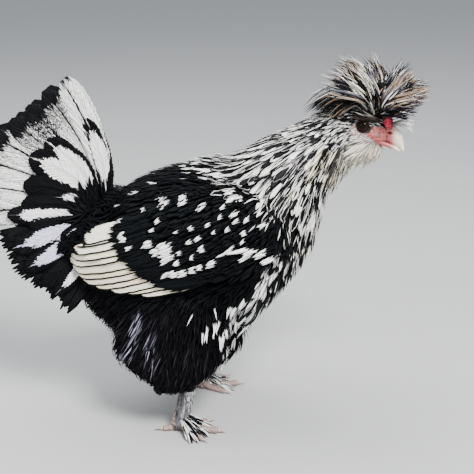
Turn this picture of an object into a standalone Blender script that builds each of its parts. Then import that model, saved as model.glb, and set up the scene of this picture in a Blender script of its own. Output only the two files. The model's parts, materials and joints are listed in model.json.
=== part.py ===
"""A life-size standing hen of a small crested breed, black and white spangled, in parts.

The hen stands on a flat floor at z = 0 and faces +X, with its left side at +Y.
Sizes are real ones in millimetres, and MM turns them into metres.
"""

import math

import bmesh
import bpy
import numpy as np
from mathutils import Matrix, Vector

MM = 0.001
# The gap between neighbours, and how much more a vertex moves so that faces get it too.
GAP, GROW_MORE = 0.3, 1.12
SEED = 7

# Trunk: a loft along X. Each row is x, back height, belly height, half width.
TRUNK_REAR, TRUNK_FRONT = -172.0, 76.0
TRUNK_ROWS = (
    (-172.0, 200.0, 128.0, 26.0),
    (-140.0, 214.0, 96.0, 41.0),
    (-110.0, 229.0, 76.0, 52.0),
    (-75.0, 243.0, 70.0, 58.0),
    (-30.0, 258.0, 74.0, 60.0),
    (10.0, 264.0, 90.0, 58.0),
    (45.0, 262.0, 117.0, 52.0),
    (76.0, 238.0, 138.0, 43.0),
)
TRUNK_RINGS, TRUNK_SIDES = 14, 20
TRUNK_SQUARE = 2.25

# Neck: a loft along a bent axis. Each row is x, z, half depth in the plane, half width.
NECK_ROWS = (
    (6.0, 195.0, 58.0, 52.0),
    (35.0, 224.0, 56.0, 50.0),
    (53.0, 246.0, 44.0, 42.0),
    (69.0, 262.0, 33.0, 33.0),
    (84.0, 277.0, 26.0, 25.0),
    (100.0, 289.0, 20.0, 19.0),
)
NECK_RINGS, NECK_SIDES = 10, 20
NECK_CUT = ((42.0, 230.0), (0.755, 0.656))
HEAD_CUT = ((90.0, 277.0), (0.92, 0.392))

# Head: a local frame, forward +x, left +y, up +z, placed by these.
HEAD_PLACE = (108.5, 0.0, 289.7)
HEAD_YAW, HEAD_PITCH = math.radians(-18.0), math.radians(12.0)
# Skull rows: x, crown height, chin height, half width.
SKULL_REAR, SKULL_FRONT = -27.0, 35.0
SKULL_ROWS = (
    (-27.0, 16.0, -16.0, 15.0),
    (-12.0, 17.5, -18.0, 17.0),
    (3.0, 17.0, -18.0, 16.0),
    (15.0, 14.0, -16.0, 13.0),
    (25.0, 11.5, -14.5, 10.5),
    (35.0, 8.0, -13.0, 8.5),
)
SKULL_RINGS, SKULL_SIDES = 10, 16
EYE_PLACE, EYE_RADIUS = (9.0, 11.2, 2.6), 5.8
LID_RING, LID_THICK, LID_OUT = 5.5, 1.2, 14.0
LID_STEPS, LID_SIDES = 10, 5
CHEEK_PLACE, CHEEK_SIZE = (-3.0, 10.0, -12.0), (17.0, 8.5, 10.0)
CHIN_PLACE, CHIN_SIZE = (13.0, 0.0, -15.0), (14.0, 9.5, 6.5)

# Bill rows: x, top height, bottom height, half width, in the head's frame.
UPPER_BILL_ROWS = (
    (19.0, 5.5, -6.0, 8.6),
    (28.0, 8.0, -7.6, 7.4),
    (36.0, 7.0, -9.2, 5.9),
    (42.0, 2.8, -10.8, 4.3),
    (46.5, -3.4, -12.6, 2.8),
    (48.8, -10.5, -14.6, 1.3),
)
LOWER_BILL_ROWS = (
    (19.0, -7.5, -13.6, 7.4),
    (28.0, -9.0, -14.4, 6.0),
    (36.0, -10.6, -15.0, 4.3),
    (42.0, -12.0, -15.6, 2.8),
    (45.6, -13.6, -16.2, 1.3),
)
BILL_RINGS, BILL_SIDES = 7, 10
NOSTRIL_PLACE, NOSTRIL_SIZE = (33.0, 5.6, 1.0), (3.0, 2.2, 1.2)

# Comb: two short horns on the forehead, behind the bill.
COMB_ROOT, COMB_HEIGHT, COMB_RADIUS = (29.0, 1.68, 6.0), 12.5, 3.2
COMB_BACK, COMB_SPLAY, COMB_SUNK, COMB_TAPER = 3.0, 2.2, 3.0, 0.72
COMB_LONG, COMB_WIDE = 1.1, 0.85
COMB_RINGS, COMB_SIDES = 6, 8

# Crest: rings of feathers round the crown, with their tips on a dome.
CREST_ROOT, CREST_CORE_SIZE = (-1.0, 0.0, 16.0), (25.5, 20.0, 21.0)
# The dome's middle, and how far it reaches ahead, back, to the sides and up.
DOME_MIDDLE = (2.0, 0.0, 13.0)
DOME_AHEAD, DOME_BACK, DOME_SIDE, DOME_UP = 60.0, 52.0, 47.0, 52.0
# Each row is count, lean from upright, half width.
CREST_RINGS = (
    (5, 13.0, 7.6),
    (10, 37.0, 8.2),
    (13, 60.0, 8.2),
    (14, 84.0, 8.0),
)
CREST_ROLL = math.radians(32.0)
# Less lean ahead than behind, how deep the roots are in the core, curl upwards and outwards.
CREST_AHEAD_LESS, CREST_SUNK, CREST_CURL, CREST_CURL_OUT = 0.14, 0.72, 0.15, 0.3
CREST_TURN_DRAW, CREST_LEAN_DRAW, CREST_REACH_DRAW = 0.12, 5.0, (0.88, 1.04)
LOCK_THICK = 0.8
# Half widths at the root and tip of vanes and of locks, as shares of the widest.
VANE_ROOT, VANE_TIP, LOCK_ROOT, LOCK_TIP = 0.45, 0.22, 0.7, 0.3

# Beard and muffs: rows of locks round the jaw.
BEARD_ROOT, BEARD_CORE_SIZE = (12.0, 0.0, -16.0), (20.0, 17.0, 9.0)
BEARD_ROWS, BEARD_LOCKS, BEARD_LENGTH, BEARD_HALF = 2, 11, 22.0, 6.0
# Where the locks spring from: a curve round the jaw that spans this many degrees to each side.
BEARD_SPAN, BEARD_MIDDLE, BEARD_LONG, BEARD_WIDE = 112.0, 10.0, 15.0, 13.5
BEARD_TOP, BEARD_STEP, BEARD_ROW_LESS = -12.0, 4.5, 0.05
# The way the locks hang: sweep back, more ahead in front, outwards, and down.
BEARD_SWEEP, BEARD_AHEAD, BEARD_OUT, BEARD_DOWN = -0.32, 0.52, 0.5, -0.72
BEARD_BEND, BEARD_REACH_DRAW = 1.6, (0.9, 1.1)

# Tail: a tented fan of broad feathers round its root, top feather first.
TAIL_ROOT = (-131.0, 203.0)
TAIL_TOP_ANGLE, TAIL_LOW_ANGLE = 104.5, 186.0
TAIL_FEATHERS, TAIL_LENGTH, TAIL_HALF_WIDTH = 7, 125.0, 15.5
TAIL_SHINGLE = 1.25
TAIL_CORE, TAIL_CORE_SIZE = (-141.0, 0.0, 196.0), (33.0, 21.0, 31.0)
TENT_NARROW, TENT_WIDE = 0.03, 0.26
TAIL_FEATHER_ROOT, TAIL_BOW, TAIL_BROAD_AT = 8.0, 3.0, 0.72
TAIL_RIDGE_GAP, TENT_EASE = 2.4, 1.2
TAIL_COVERTS, TAIL_COVERT_LENGTH, TAIL_COVERT_HALF = 5, 70.0, 13.0
# The coverts' first angle and spread, root, drop of the root, shortening, bow and height over the fan.
COVERT_ANGLE, COVERT_SPREAD, COVERT_ROOT, COVERT_DROP = 112.0, 78.0, 6.0, 3.0
COVERT_LESS, COVERT_BOW, COVERT_LIFT = 0.12, 2.0, 3.6
# Feathers under the tail: root and tip of the first, and how far the last is from it.
UNDER_COVERTS, UNDER_COVERT_HALF = 3, 11.5
UNDER_ROOT, UNDER_ROOT_STEP = (-148.0, 9.0, 186.0), (-6.0, 2.0, -12.0)
UNDER_REACH, UNDER_REACH_STEP = (-60.0, 10.0, -14.0), (32.0, 2.0, -34.0)
LOCK_THIN = 0.6

# Wings: the folded wing follows the trunk's side, this far outside it, and hangs straight below a height.
WING_OUT, WING_HANG = 7.0, 178.0
WING_CORE_MIDDLE, WING_CORE_SIZE = (-50.0, 196.0), (58.0, 38.0)
# Rings of the core, from its outer face to deep in the trunk: share of its size, height over the sheet.
WING_CORE_RINGS = ((0.25, 3.0), (0.6, 2.4), (0.85, 0.6), (1.0, -3.0), (1.0, -12.0), (0.9, -30.0))
WING_CORE_SIDES, WING_BOW = 20, 1.5
# Rows of feathers, top first: share of the row, root x and z, tip x and z.
FLIGHT_ROWS = (
    (0.0, -82.0, 216.0, -138.0, 195.0),
    (0.33, -84.0, 193.0, -156.0, 173.0),
    (0.66, -70.0, 174.0, -140.0, 152.0),
    (1.0, -26.0, 160.0, -80.0, 149.0),
)
GREATER_ROWS = (
    (0.0, -74.0, 222.0, -108.0, 211.0),
    (0.33, -76.0, 206.0, -114.0, 192.0),
    (0.66, -58.0, 183.0, -94.0, 167.0),
    (1.0, -8.0, 172.0, -42.0, 154.0),
)
MEDIAN_ROWS = (
    (0.0, -54.0, 228.0, -86.0, 220.0),
    (0.33, -54.0, 214.0, -90.0, 204.0),
    (0.66, -36.0, 194.0, -72.0, 181.0),
    (1.0, 6.0, 182.0, -22.0, 166.0),
)
# Each tier: rows, count, half width, height above the wing's sheet, shingle, lengthwise steps.
WING_TIERS = (
    (FLIGHT_ROWS, 8, 8.8, 0.2, 0.8, 4),
    (GREATER_ROWS, 6, 10.4, 2.3, 0.8, 3),
    (MEDIAN_ROWS, 5, 11.4, 4.2, 0.8, 3),
)

# Thighs: each row is height, half length, half width, distance from the middle plane.
THIGH_ROWS = (
    (44.0, 22.0, 13.0, 44.0),
    (60.0, 41.0, 22.0, 44.0),
    (82.0, 56.0, 28.0, 43.0),
    (110.0, 57.0, 31.0, 40.0),
    (140.0, 50.0, 29.0, 36.0),
    (175.0, 38.0, 21.0, 30.0),
)
THIGH_RINGS, THIGH_SIDES = 8, 16
# The right leg stands back and the left one forward, with its fluff nearly on the floor.
THIGH_X = {"right": -62.0, "left": -45.0}
THIGH_LEAN = {"right": -2.0, "left": 12.0}
THIGH_LOW = {"right": 42.0, "left": 27.0}
# Stiff feathers behind the hock: root and reach of the first, and how far the last is from it.
HOCK_LOCKS, HOCK_HEIGHT, HOCK_HALF = 4, 64.0, 5.5
HOCK_ROOT, HOCK_ROOT_STEP = (-22.0, 6.0, 2.0), (-6.0, -14.0, 3.0)
HOCK_REACH, HOCK_REACH_STEP = (-15.0, 2.0, -20.0), (-8.0, 0.0, 6.0)
FOOT_X, FOOT_Y = {"right": -55.0, "left": -37.0}, 44.0
SHANK_LEAN, SHANK_LEAN_OVER = 9.0, 40.0
SHANK_RADIUS, ANKLE_HEIGHT, SHANK_SWELL, SHANK_LONG, SHANK_WIDE = 5.6, 14.0, 0.3, 1.1, 0.9
# How far the shank goes up into the thigh, where it starts in the foot, and where it ends over it.
SHANK_SUNK, SHANK_START, SHANK_FOOT = 14.0, 8.0, 8.0
SHANK_RINGS, SHANK_SIDES = 8, 10
PAD_PLACE, PAD_SIZE = (1.0, 0.0, 7.4), (8.5, 7.5, 8.0)
# Feathers down the outside of the shank.
PLUMES, PLUME_TURN, PLUME_FAN, PLUME_HALF = 6, 62.0, 26.0, 4.0
PLUME_OUT, PLUME_DROP, PLUME_BEND, PLUME_SUNK = 9.5, 16.0, 2.5, 2.0
PLUME_TOP, PLUME_LOW, PLUME_CLEAR = 6.0, 24.0, 9.0
# Toes: bearing outwards from straight ahead, length, root radius.
TOES = (
    ("hind", 160.0, 16.0, 3.8),
    ("inner", -34.0, 28.0, 3.8),
    ("middle", 2.0, 37.0, 4.3),
    ("outer", 36.0, 31.0, 3.8),
)
FOOT_TURN = {"right": 10.0, "left": 4.0}
# How much a toe thins, how high it leaves the foot and how soon it comes down, and its knuckles.
TOE_TAPER, TOE_RISE, TOE_DOWN_AT, TOE_SUNK, KNUCKLE = 0.28, 10.0, 0.42, 0.8, 0.08
TOE_RINGS, TOE_SIDES = 6, 7
CLAW_LENGTH, CLAW_RADIUS, CLAW_TAPER, CLAW_ARCH, CLAW_DROP = 9.0, 2.1, 0.86, 1.5, 1.6
CLAW_RINGS, CLAW_SIDES = 4, 6

# EXACT leaves openings where many thin vanes cross, so it only follows where MANIFOLD doesn't close.
SOLVERS = ("MANIFOLD", "EXACT")

COLOURS = {
    "black_feather": (0.012, 0.013, 0.016, 1.0),
    "hackle_feather": (0.62, 0.60, 0.55, 1.0),
    "white_feather": (0.80, 0.79, 0.75, 1.0),
    "crest_feather": (0.30, 0.27, 0.24, 1.0),
    "beard_feather": (0.66, 0.62, 0.52, 1.0),
    "bill_horn": (0.82, 0.66, 0.54, 1.0),
    "comb_flesh": (0.72, 0.10, 0.14, 1.0),
    "foot_scale": (0.62, 0.52, 0.50, 1.0),
    "claw_horn": (0.55, 0.47, 0.40, 1.0),
    "eye_brown": (0.03, 0.012, 0.008, 1.0),
}
ROUGHNESS = {"eye_brown": 0.05, "bill_horn": 0.35, "claw_horn": 0.35, "comb_flesh": 0.5}


def clear_scene():
    """Removes whatever the scene starts with."""
    for old in list(bpy.data.objects):
        bpy.data.objects.remove(old)


def smooth_rows(rows, at):
    """Each column of the rows at this value of the first column, on a smooth curve."""
    table = np.array(rows, float)
    keys, values = table[:, 0], table[:, 1:]
    slopes = np.gradient(values, keys, axis=0)
    step = int(np.clip(np.searchsorted(keys, at) - 1, 0, len(keys) - 2))
    span = keys[step + 1] - keys[step]
    t = np.clip((at - keys[step]) / span, 0.0, 1.0)
    start, end = values[step], values[step + 1]
    return (
        (2 * t**3 - 3 * t**2 + 1) * start
        + (t**3 - 2 * t**2 + t) * span * slopes[step]
        + (3 * t**2 - 2 * t**3) * end
        + (t**3 - t**2) * span * slopes[step + 1]
    )


def material(name):
    """The plain finish of one slot."""
    found = bpy.data.materials.get(name)
    if found:
        return found
    made = bpy.data.materials.new(name)
    made.use_nodes = True
    shader = made.node_tree.nodes["Principled BSDF"]
    shader.inputs["Base Color"].default_value = COLOURS[name]
    shader.inputs["Roughness"].default_value = ROUGHNESS.get(name, 0.7)
    shader.inputs["Metallic"].default_value = 0.0
    return made


def object_from(name, mesh, finish="black_feather"):
    """Writes a bmesh in millimetres to a new object in metres."""
    bmesh.ops.recalc_face_normals(mesh, faces=mesh.faces[:])
    bmesh.ops.scale(mesh, vec=(MM, MM, MM), verts=mesh.verts[:])
    data = bpy.data.meshes.new(name)
    mesh.to_mesh(data)
    mesh.free()
    made = bpy.data.objects.new(name, data)
    made.data.materials.append(material(finish))
    bpy.context.scene.collection.objects.link(made)
    return made


def loft(name, rings, finish="black_feather"):
    """One closed body through rings of points, with a fan to the middle of each end."""
    mesh = bmesh.new()
    loops = [[mesh.verts.new(Vector(point)) for point in ring] for ring in rings]
    for low, high in zip(loops, loops[1:]):
        for k in range(len(low)):
            mesh.faces.new((low[k - 1], low[k], high[k], high[k - 1]))
    for loop, ring in ((loops[0], rings[0]), (loops[-1], rings[-1])):
        middle = mesh.verts.new(Vector(np.mean(np.array(ring, float), axis=0)))
        for k in range(len(loop)):
            mesh.faces.new((loop[k - 1], loop[k], middle))
    return object_from(name, mesh, finish)


def oval(middle, across, up, half_across, half_up, sides, square=2.0):
    """Points of a rounded oval round a middle, in the plane of two unit directions."""
    power = 2.0 / square
    points = []
    for k in range(sides):
        angle = 2 * math.pi * k / sides
        c, s = math.cos(angle), math.sin(angle)
        a = math.copysign(abs(c) ** power, c) * half_across
        b = math.copysign(abs(s) ** power, s) * half_up
        points.append(Vector(middle) + Vector(across) * a + Vector(up) * b)
    return points


def ball(name, middle, size, finish="black_feather", segments=16, rings=10):
    """An ellipsoid of these half sizes."""
    mesh = bmesh.new()
    bmesh.ops.create_uvsphere(mesh, u_segments=segments, v_segments=rings, radius=1.0)
    bmesh.ops.scale(mesh, vec=Vector(size), verts=mesh.verts[:])
    bmesh.ops.translate(mesh, vec=Vector(middle), verts=mesh.verts[:])
    return object_from(name, mesh, finish)


def rounding(x, rear, front):
    """How far a loft's sections close in near its two ends."""
    s = (2 * x - rear - front) / (front - rear)
    return math.sqrt(max(0.0, 1.0 - abs(s) ** 4))


def spaced(rear, front, count):
    """Places along a loft, closer together near its ends."""
    turns = np.linspace(0.07 * math.pi, 0.93 * math.pi, count)
    return (rear + front) / 2 - (front - rear) / 2 * np.cos(turns) / math.cos(0.035 * math.pi)


def row_loft(name, rows, rear, front, count, sides, square=2.0, finish="black_feather"):
    """A loft along x whose rows give top, bottom and half width."""
    rings = []
    for x in spaced(rear, front, count):
        top, bottom, half = smooth_rows(rows, x)
        close = rounding(x, rear, front)
        middle = (x, 0.0, (top + bottom) / 2)
        rings.append(
            oval(middle, (0, 1, 0), (0, 0, 1), half * close, (top - bottom) / 2 * close, sides, square)
        )
    return loft(name, rings, finish)


def trunk_half_width(x, z):
    """How far the trunk's side is from the middle plane at this place, or 0 outside it."""
    if not TRUNK_REAR < x < TRUNK_FRONT:
        return 0.0
    top, bottom, half = smooth_rows(TRUNK_ROWS, x)
    close = rounding(x, TRUNK_REAR, TRUNK_FRONT)
    high = abs(z - (top + bottom) / 2) / ((top - bottom) / 2 * close)
    return half * close * max(0.0, 1.0 - high**TRUNK_SQUARE) ** (1 / TRUNK_SQUARE)


def applied(obj):
    """Replaces the object's mesh by the one its modifiers make."""
    bpy.context.view_layer.update()
    graph = bpy.context.evaluated_depsgraph_get()
    made = bpy.data.meshes.new_from_object(obj.evaluated_get(graph))
    obj.modifiers.clear()
    obj.data = made
    return obj


def is_closed(obj):
    """Whether the object has faces and each of its edges joins just two of them."""
    uses = {}
    for face in obj.data.polygons:
        for key in face.edge_keys:
            uses[key] = uses.get(key, 0) + 1
    return bool(uses) and all(count == 2 for count in uses.values())


def largest_body(obj):
    """Keeps only the largest closed surface of the object."""
    mesh = bmesh.new()
    mesh.from_mesh(obj.data)
    left = set(mesh.faces)
    bodies = []
    while left:
        start = left.pop()
        body, fresh = {start}, [start]
        while fresh:
            for edge in fresh.pop().edges:
                for face in edge.link_faces:
                    if face in left:
                        left.discard(face)
                        body.add(face)
                        fresh.append(face)
        bodies.append(body)
    if len(bodies) > 1:
        keep = max(bodies, key=lambda body: sum(face.calc_area() for face in body))
        bmesh.ops.delete(mesh, geom=[face for face in mesh.faces if face not in keep], context="FACES")
    mesh.to_mesh(obj.data)
    mesh.free()
    return obj


def fuse(obj, pieces):
    """Joins the pieces to the object in one Boolean union, and removes them."""
    group = bpy.data.collections.new(obj.name + "_pieces")
    bpy.context.scene.collection.children.link(group)
    for piece in pieces:
        bpy.context.scene.collection.objects.unlink(piece)
        group.objects.link(piece)
    before = obj.data.copy()
    for solver in SOLVERS:
        obj.data = before.copy()
        join = obj.modifiers.new("join", "BOOLEAN")
        join.operation = "UNION"
        join.operand_type = "COLLECTION"
        join.collection = group
        join.solver = solver
        applied(obj)
        if is_closed(obj):
            break
    for piece in list(group.objects):
        bpy.data.objects.remove(piece)
    bpy.data.collections.remove(group)
    return largest_body(obj)


def carve(obj, cutter):
    """Cuts the cutter out of the object."""
    before = obj.data.copy()
    for solver in SOLVERS:
        obj.data = before.copy()
        cut = obj.modifiers.new("cut", "BOOLEAN")
        cut.operation = "DIFFERENCE"
        cut.object = cutter
        cut.solver = solver
        applied(obj)
        if is_closed(obj):
            break
    return largest_body(obj)


def grown(obj, by=GAP):
    """A hidden copy of the object, larger by this much all round, to cut its neighbours with."""
    mesh = bmesh.new()
    mesh.from_mesh(obj.data)
    mesh.normal_update()
    moves = {v: v.normal * by * MM * GROW_MORE for v in mesh.verts}
    for vert, move in moves.items():
        vert.co += move
    data = bpy.data.meshes.new(obj.name + "_grown")
    mesh.to_mesh(data)
    mesh.free()
    made = bpy.data.objects.new(obj.name + "_grown", data)
    made.hide_render = True
    made.display_type = "WIRE"
    bpy.context.scene.collection.objects.link(made)
    return made


def keep_side(obj, point, normal):
    """Cuts the object with a plane, keeps what is in front of it and closes the cut."""
    mesh = bmesh.new()
    mesh.from_mesh(obj.data)
    cut = bmesh.ops.bisect_plane(
        mesh,
        geom=mesh.verts[:] + mesh.edges[:] + mesh.faces[:],
        plane_co=Vector(point) * MM,
        plane_no=Vector(normal),
        clear_inner=True,
        dist=1e-7,
    )
    edges = [item for item in cut["geom_cut"] if isinstance(item, bmesh.types.BMEdge)]
    bmesh.ops.edgenet_fill(mesh, edges=edges)
    bmesh.ops.recalc_face_normals(mesh, faces=mesh.faces[:])
    mesh.to_mesh(obj.data)
    mesh.free()
    return obj


def copied(obj, name):
    """A separate copy of the object and its mesh."""
    made = obj.copy()
    made.data = obj.data.copy()
    made.name = name
    bpy.context.scene.collection.objects.link(made)
    return made


def strip(name, mids, acrosses, normals, half_widths, half_thick, finish):
    """A closed flat vane along its middle line, with both faces split into triangles alike."""
    mesh = bmesh.new()
    rings = []
    for mid, across, normal, half, thick in zip(mids, acrosses, normals, half_widths, half_thick):
        mid, side, rise = Vector(mid), Vector(across) * half, Vector(normal) * thick
        corners = (mid + side + rise, mid - side + rise, mid - side - rise, mid + side - rise)
        rings.append([mesh.verts.new(corner) for corner in corners])
    for low, high in zip(rings, rings[1:]):
        for a, b in ((0, 1), (3, 2), (1, 2), (0, 3)):
            mesh.faces.new((low[a], low[b], high[b]))
            mesh.faces.new((low[a], high[b], high[a]))
    for ring in (rings[0], rings[-1]):
        mesh.faces.new((ring[0], ring[1], ring[2]))
        mesh.faces.new((ring[0], ring[2], ring[3]))
    return object_from(name, mesh, finish)


def tapered(share, broad_at, root, tip):
    """A vane's half width as a share of its widest, from root to tip."""
    if share < broad_at:
        rise = math.sin(0.5 * math.pi * share / broad_at)
        return root + (1 - root) * rise
    fall = (share - broad_at) / (1 - broad_at)
    return tip + (1 - tip) * math.sqrt(max(0.0, 1 - fall**2.6))


def sheet_vane(
    name, sheet, root, tip, half_width, bow, lift, tilt, finish, steps=4, broad_at=0.6, thick=0.35
):
    """A feather that lies on a sheet: root and tip are places on it, bow bends it, tilt shingles it."""
    root, tip = np.array(root, float), np.array(tip, float)
    along = tip - root
    length = float(np.hypot(*along))
    along /= length
    sideways = np.array((-along[1], along[0]))
    mids, acrosses, normals, halves, thicks = [], [], [], [], []
    shares = [1 - (1 - k / steps) ** 1.25 for k in range(steps + 1)]
    for share in shares:
        place = root + along * length * share + sideways * bow * math.sin(math.pi * share)
        half = half_width * tapered(share, broad_at, VANE_ROOT, VANE_TIP)
        left = np.array(sheet(*(place + sideways * half), lift + tilt))
        right = np.array(sheet(*(place - sideways * half), lift - tilt))
        mid = np.array(sheet(*place, lift + 0.35))
        across = (left - right) / np.linalg.norm(left - right)
        ahead = np.array(sheet(*(place + along), lift)) - np.array(sheet(*place, lift))
        normal = np.cross(across, ahead)
        normal /= np.linalg.norm(normal)
        mids.append(mid)
        acrosses.append(across)
        normals.append(normal)
        halves.append(half)
        thicks.append(thick if share < 0.99 else thick * 0.6)
    return strip(name, mids, acrosses, normals, halves, thicks, finish)


def lock(name, root, tip, bend, half_width, half_thick, face, finish, steps=3, broad_at=0.5):
    """A flat, tapered lock from root to tip, bowed by a bend, with its flat side to a direction."""
    root, tip, bend, face = Vector(root), Vector(tip), Vector(bend), Vector(face)
    mids, acrosses, normals, halves, thicks = [], [], [], [], []
    for k in range(steps + 1):
        share = 1 - (1 - k / steps) ** 1.35
        mid = root.lerp(tip, share) + bend * math.sin(math.pi * share * 0.85)
        ahead = (tip - root) + bend * math.pi * 0.85 * math.cos(math.pi * share * 0.85)
        across = ahead.cross(face).normalized()
        mids.append(mid)
        acrosses.append(across)
        normals.append(across.cross(ahead).normalized())
        taper = tapered(share, broad_at, LOCK_ROOT, LOCK_TIP)
        halves.append(half_width * taper)
        thicks.append(half_thick * (1.0 - 0.65 * share))
    return strip(name, mids, acrosses, normals, halves, thicks, finish)


def head_matrix():
    """Carries the head's own frame to its place."""
    turn = Matrix.Rotation(HEAD_YAW, 4, "Z") @ Matrix.Rotation(HEAD_PITCH, 4, "Y")
    return Matrix.Translation(Vector(HEAD_PLACE)) @ turn


def on_head(*objs):
    """Moves objects made in the head's frame to their place."""
    matrix = Matrix.Scale(MM, 4) @ head_matrix() @ Matrix.Scale(1 / MM, 4)
    for obj in objs:
        obj.data.transform(matrix)
    return objs[0]


def mirrored(place, side):
    """A place given for the left side, on this side."""
    return (place[0], place[1] * (1 if side == "left" else -1), place[2])


def make_flesh():
    """Trunk, neck and head as one body, then parted with thin cuts."""
    trunk = row_loft(
        "torso", TRUNK_ROWS, TRUNK_REAR, TRUNK_FRONT, TRUNK_RINGS, TRUNK_SIDES, TRUNK_SQUARE
    )
    points = np.array([row[:2] for row in NECK_ROWS])
    steps = np.concatenate([[0], np.cumsum(np.linalg.norm(np.diff(points, axis=0), axis=1))])
    rows = [(s, *row) for s, row in zip(steps, NECK_ROWS)]
    rings = []
    for s in np.linspace(0, steps[-1], NECK_RINGS):
        x, z, half_deep, half_wide = smooth_rows(rows, s)
        x2, z2 = smooth_rows(rows, s + 1)[:2]
        x1, z1 = smooth_rows(rows, s - 1)[:2]
        along = Vector((x2 - x1, 0, z2 - z1)).normalized()
        up = Vector((0, 1, 0)).cross(along)
        rings.append(oval((x, 0, z), (0, 1, 0), up, half_wide, half_deep, NECK_SIDES))
    neck = loft("neck", rings)
    skull = row_loft("head", SKULL_ROWS, SKULL_REAR, SKULL_FRONT, SKULL_RINGS, SKULL_SIDES, 2.1)
    on_head(skull)
    whole = fuse(trunk, [neck, skull])
    cuts = {}
    for name, (place, along) in (("neck", NECK_CUT), ("head", HEAD_CUT)):
        cuts[name] = (Vector((place[0], 0, place[1])), Vector((along[0], 0, along[1])))
    neck_at, neck_along = cuts["neck"]
    head_at, head_along = cuts["head"]
    torso = whole
    neck = copied(whole, "neck")
    head = copied(whole, "head")
    keep_side(torso, neck_at - neck_along * GAP / 2, -neck_along)
    keep_side(neck, neck_at + neck_along * GAP / 2, neck_along)
    keep_side(head, head_at + head_along * GAP / 2, head_along)
    return torso, neck, head


def make_face(head):
    """Cheeks, chin and lids on the head, the eyes, and the sockets that hold them."""
    pieces = [on_head(ball("chin", CHIN_PLACE, CHIN_SIZE, segments=10, rings=7))]
    eyes = []
    for side in ("left", "right"):
        pieces.append(
            on_head(ball("cheek", mirrored(CHEEK_PLACE, side), CHEEK_SIZE, segments=10, rings=7))
        )
        out = 1 if side == "left" else -1
        rings = []
        for k in range(LID_STEPS):
            angle = 2 * math.pi * k / LID_STEPS
            radial = Vector((math.cos(angle), 0, math.sin(angle)))
            middle = Vector((EYE_PLACE[0], LID_OUT * out, EYE_PLACE[2])) + radial * LID_RING
            rings.append(oval(middle, radial, (0, 1, 0), LID_THICK, LID_THICK * 1.2, LID_SIDES))
        mesh = bmesh.new()
        loops = [[mesh.verts.new(point) for point in ring] for ring in rings]
        for k in range(LID_STEPS):
            for j in range(LID_SIDES):
                mesh.faces.new((loops[k - 1][j - 1], loops[k - 1][j], loops[k][j], loops[k][j - 1]))
        pieces.append(on_head(object_from("lid", mesh)))
        eye = ball("eye_" + side, mirrored(EYE_PLACE, side), (EYE_RADIUS,) * 3, "eye_brown", 12, 8)
        eyes.append(on_head(eye))
    fuse(head, pieces)
    for eye in eyes:
        socket = grown(eye)
        carve(head, socket)
        bpy.data.objects.remove(socket)
    return eyes


def make_bill(head_cutter):
    """The upper and lower bill, with the line of the mouth between them and two nostrils."""
    made = {}
    for name, rows in (("bill_upper", UPPER_BILL_ROWS), ("bill_lower", LOWER_BILL_ROWS)):
        rings = []
        for x in np.linspace(rows[0][0], rows[-1][0], BILL_RINGS):
            top, bottom, half = smooth_rows(rows, x)
            middle = (x, 0, (top + bottom) / 2)
            rings.append(oval(middle, (0, 1, 0), (0, 0, 1), half, (top - bottom) / 2, BILL_SIDES))
        made[name] = on_head(loft(name, rings, "bill_horn"))
    for side in ("left", "right"):
        pit = on_head(ball("nostril", mirrored(NOSTRIL_PLACE, side), NOSTRIL_SIZE, segments=8, rings=5))
        carve(made["bill_upper"], pit)
        bpy.data.objects.remove(pit)
    carve(made["bill_upper"], head_cutter)
    upper = grown(made["bill_upper"])
    carve(made["bill_lower"], head_cutter)
    carve(made["bill_lower"], upper)
    return [upper, grown(made["bill_lower"])]


def remove(*objs):
    """Removes helpers that aren't part of the hen."""
    for obj in objs:
        bpy.data.objects.remove(obj)


def make_comb(cutters):
    """Two short fleshy horns joined at the root."""
    horns = []
    for out in (-1, 1):
        x, y, z = COMB_ROOT
        rings = []
        for share in np.linspace(0, 1, COMB_RINGS):
            across = out * (y + COMB_SPLAY * share**2)
            middle = (x - COMB_BACK * share, across, z - COMB_SUNK + (COMB_HEIGHT + COMB_SUNK) * share)
            half = COMB_RADIUS * (1 - COMB_TAPER * share**2)
            rings.append(oval(middle, (1, 0, 0), (0, 1, 0), half * COMB_LONG, half * COMB_WIDE, COMB_SIDES))
        horns.append(on_head(loft("comb", rings, "comb_flesh")))
    comb = fuse(horns[0], horns[1:])
    comb.name = "comb"
    for cutter in cutters:
        carve(comb, cutter)
    return comb


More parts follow.
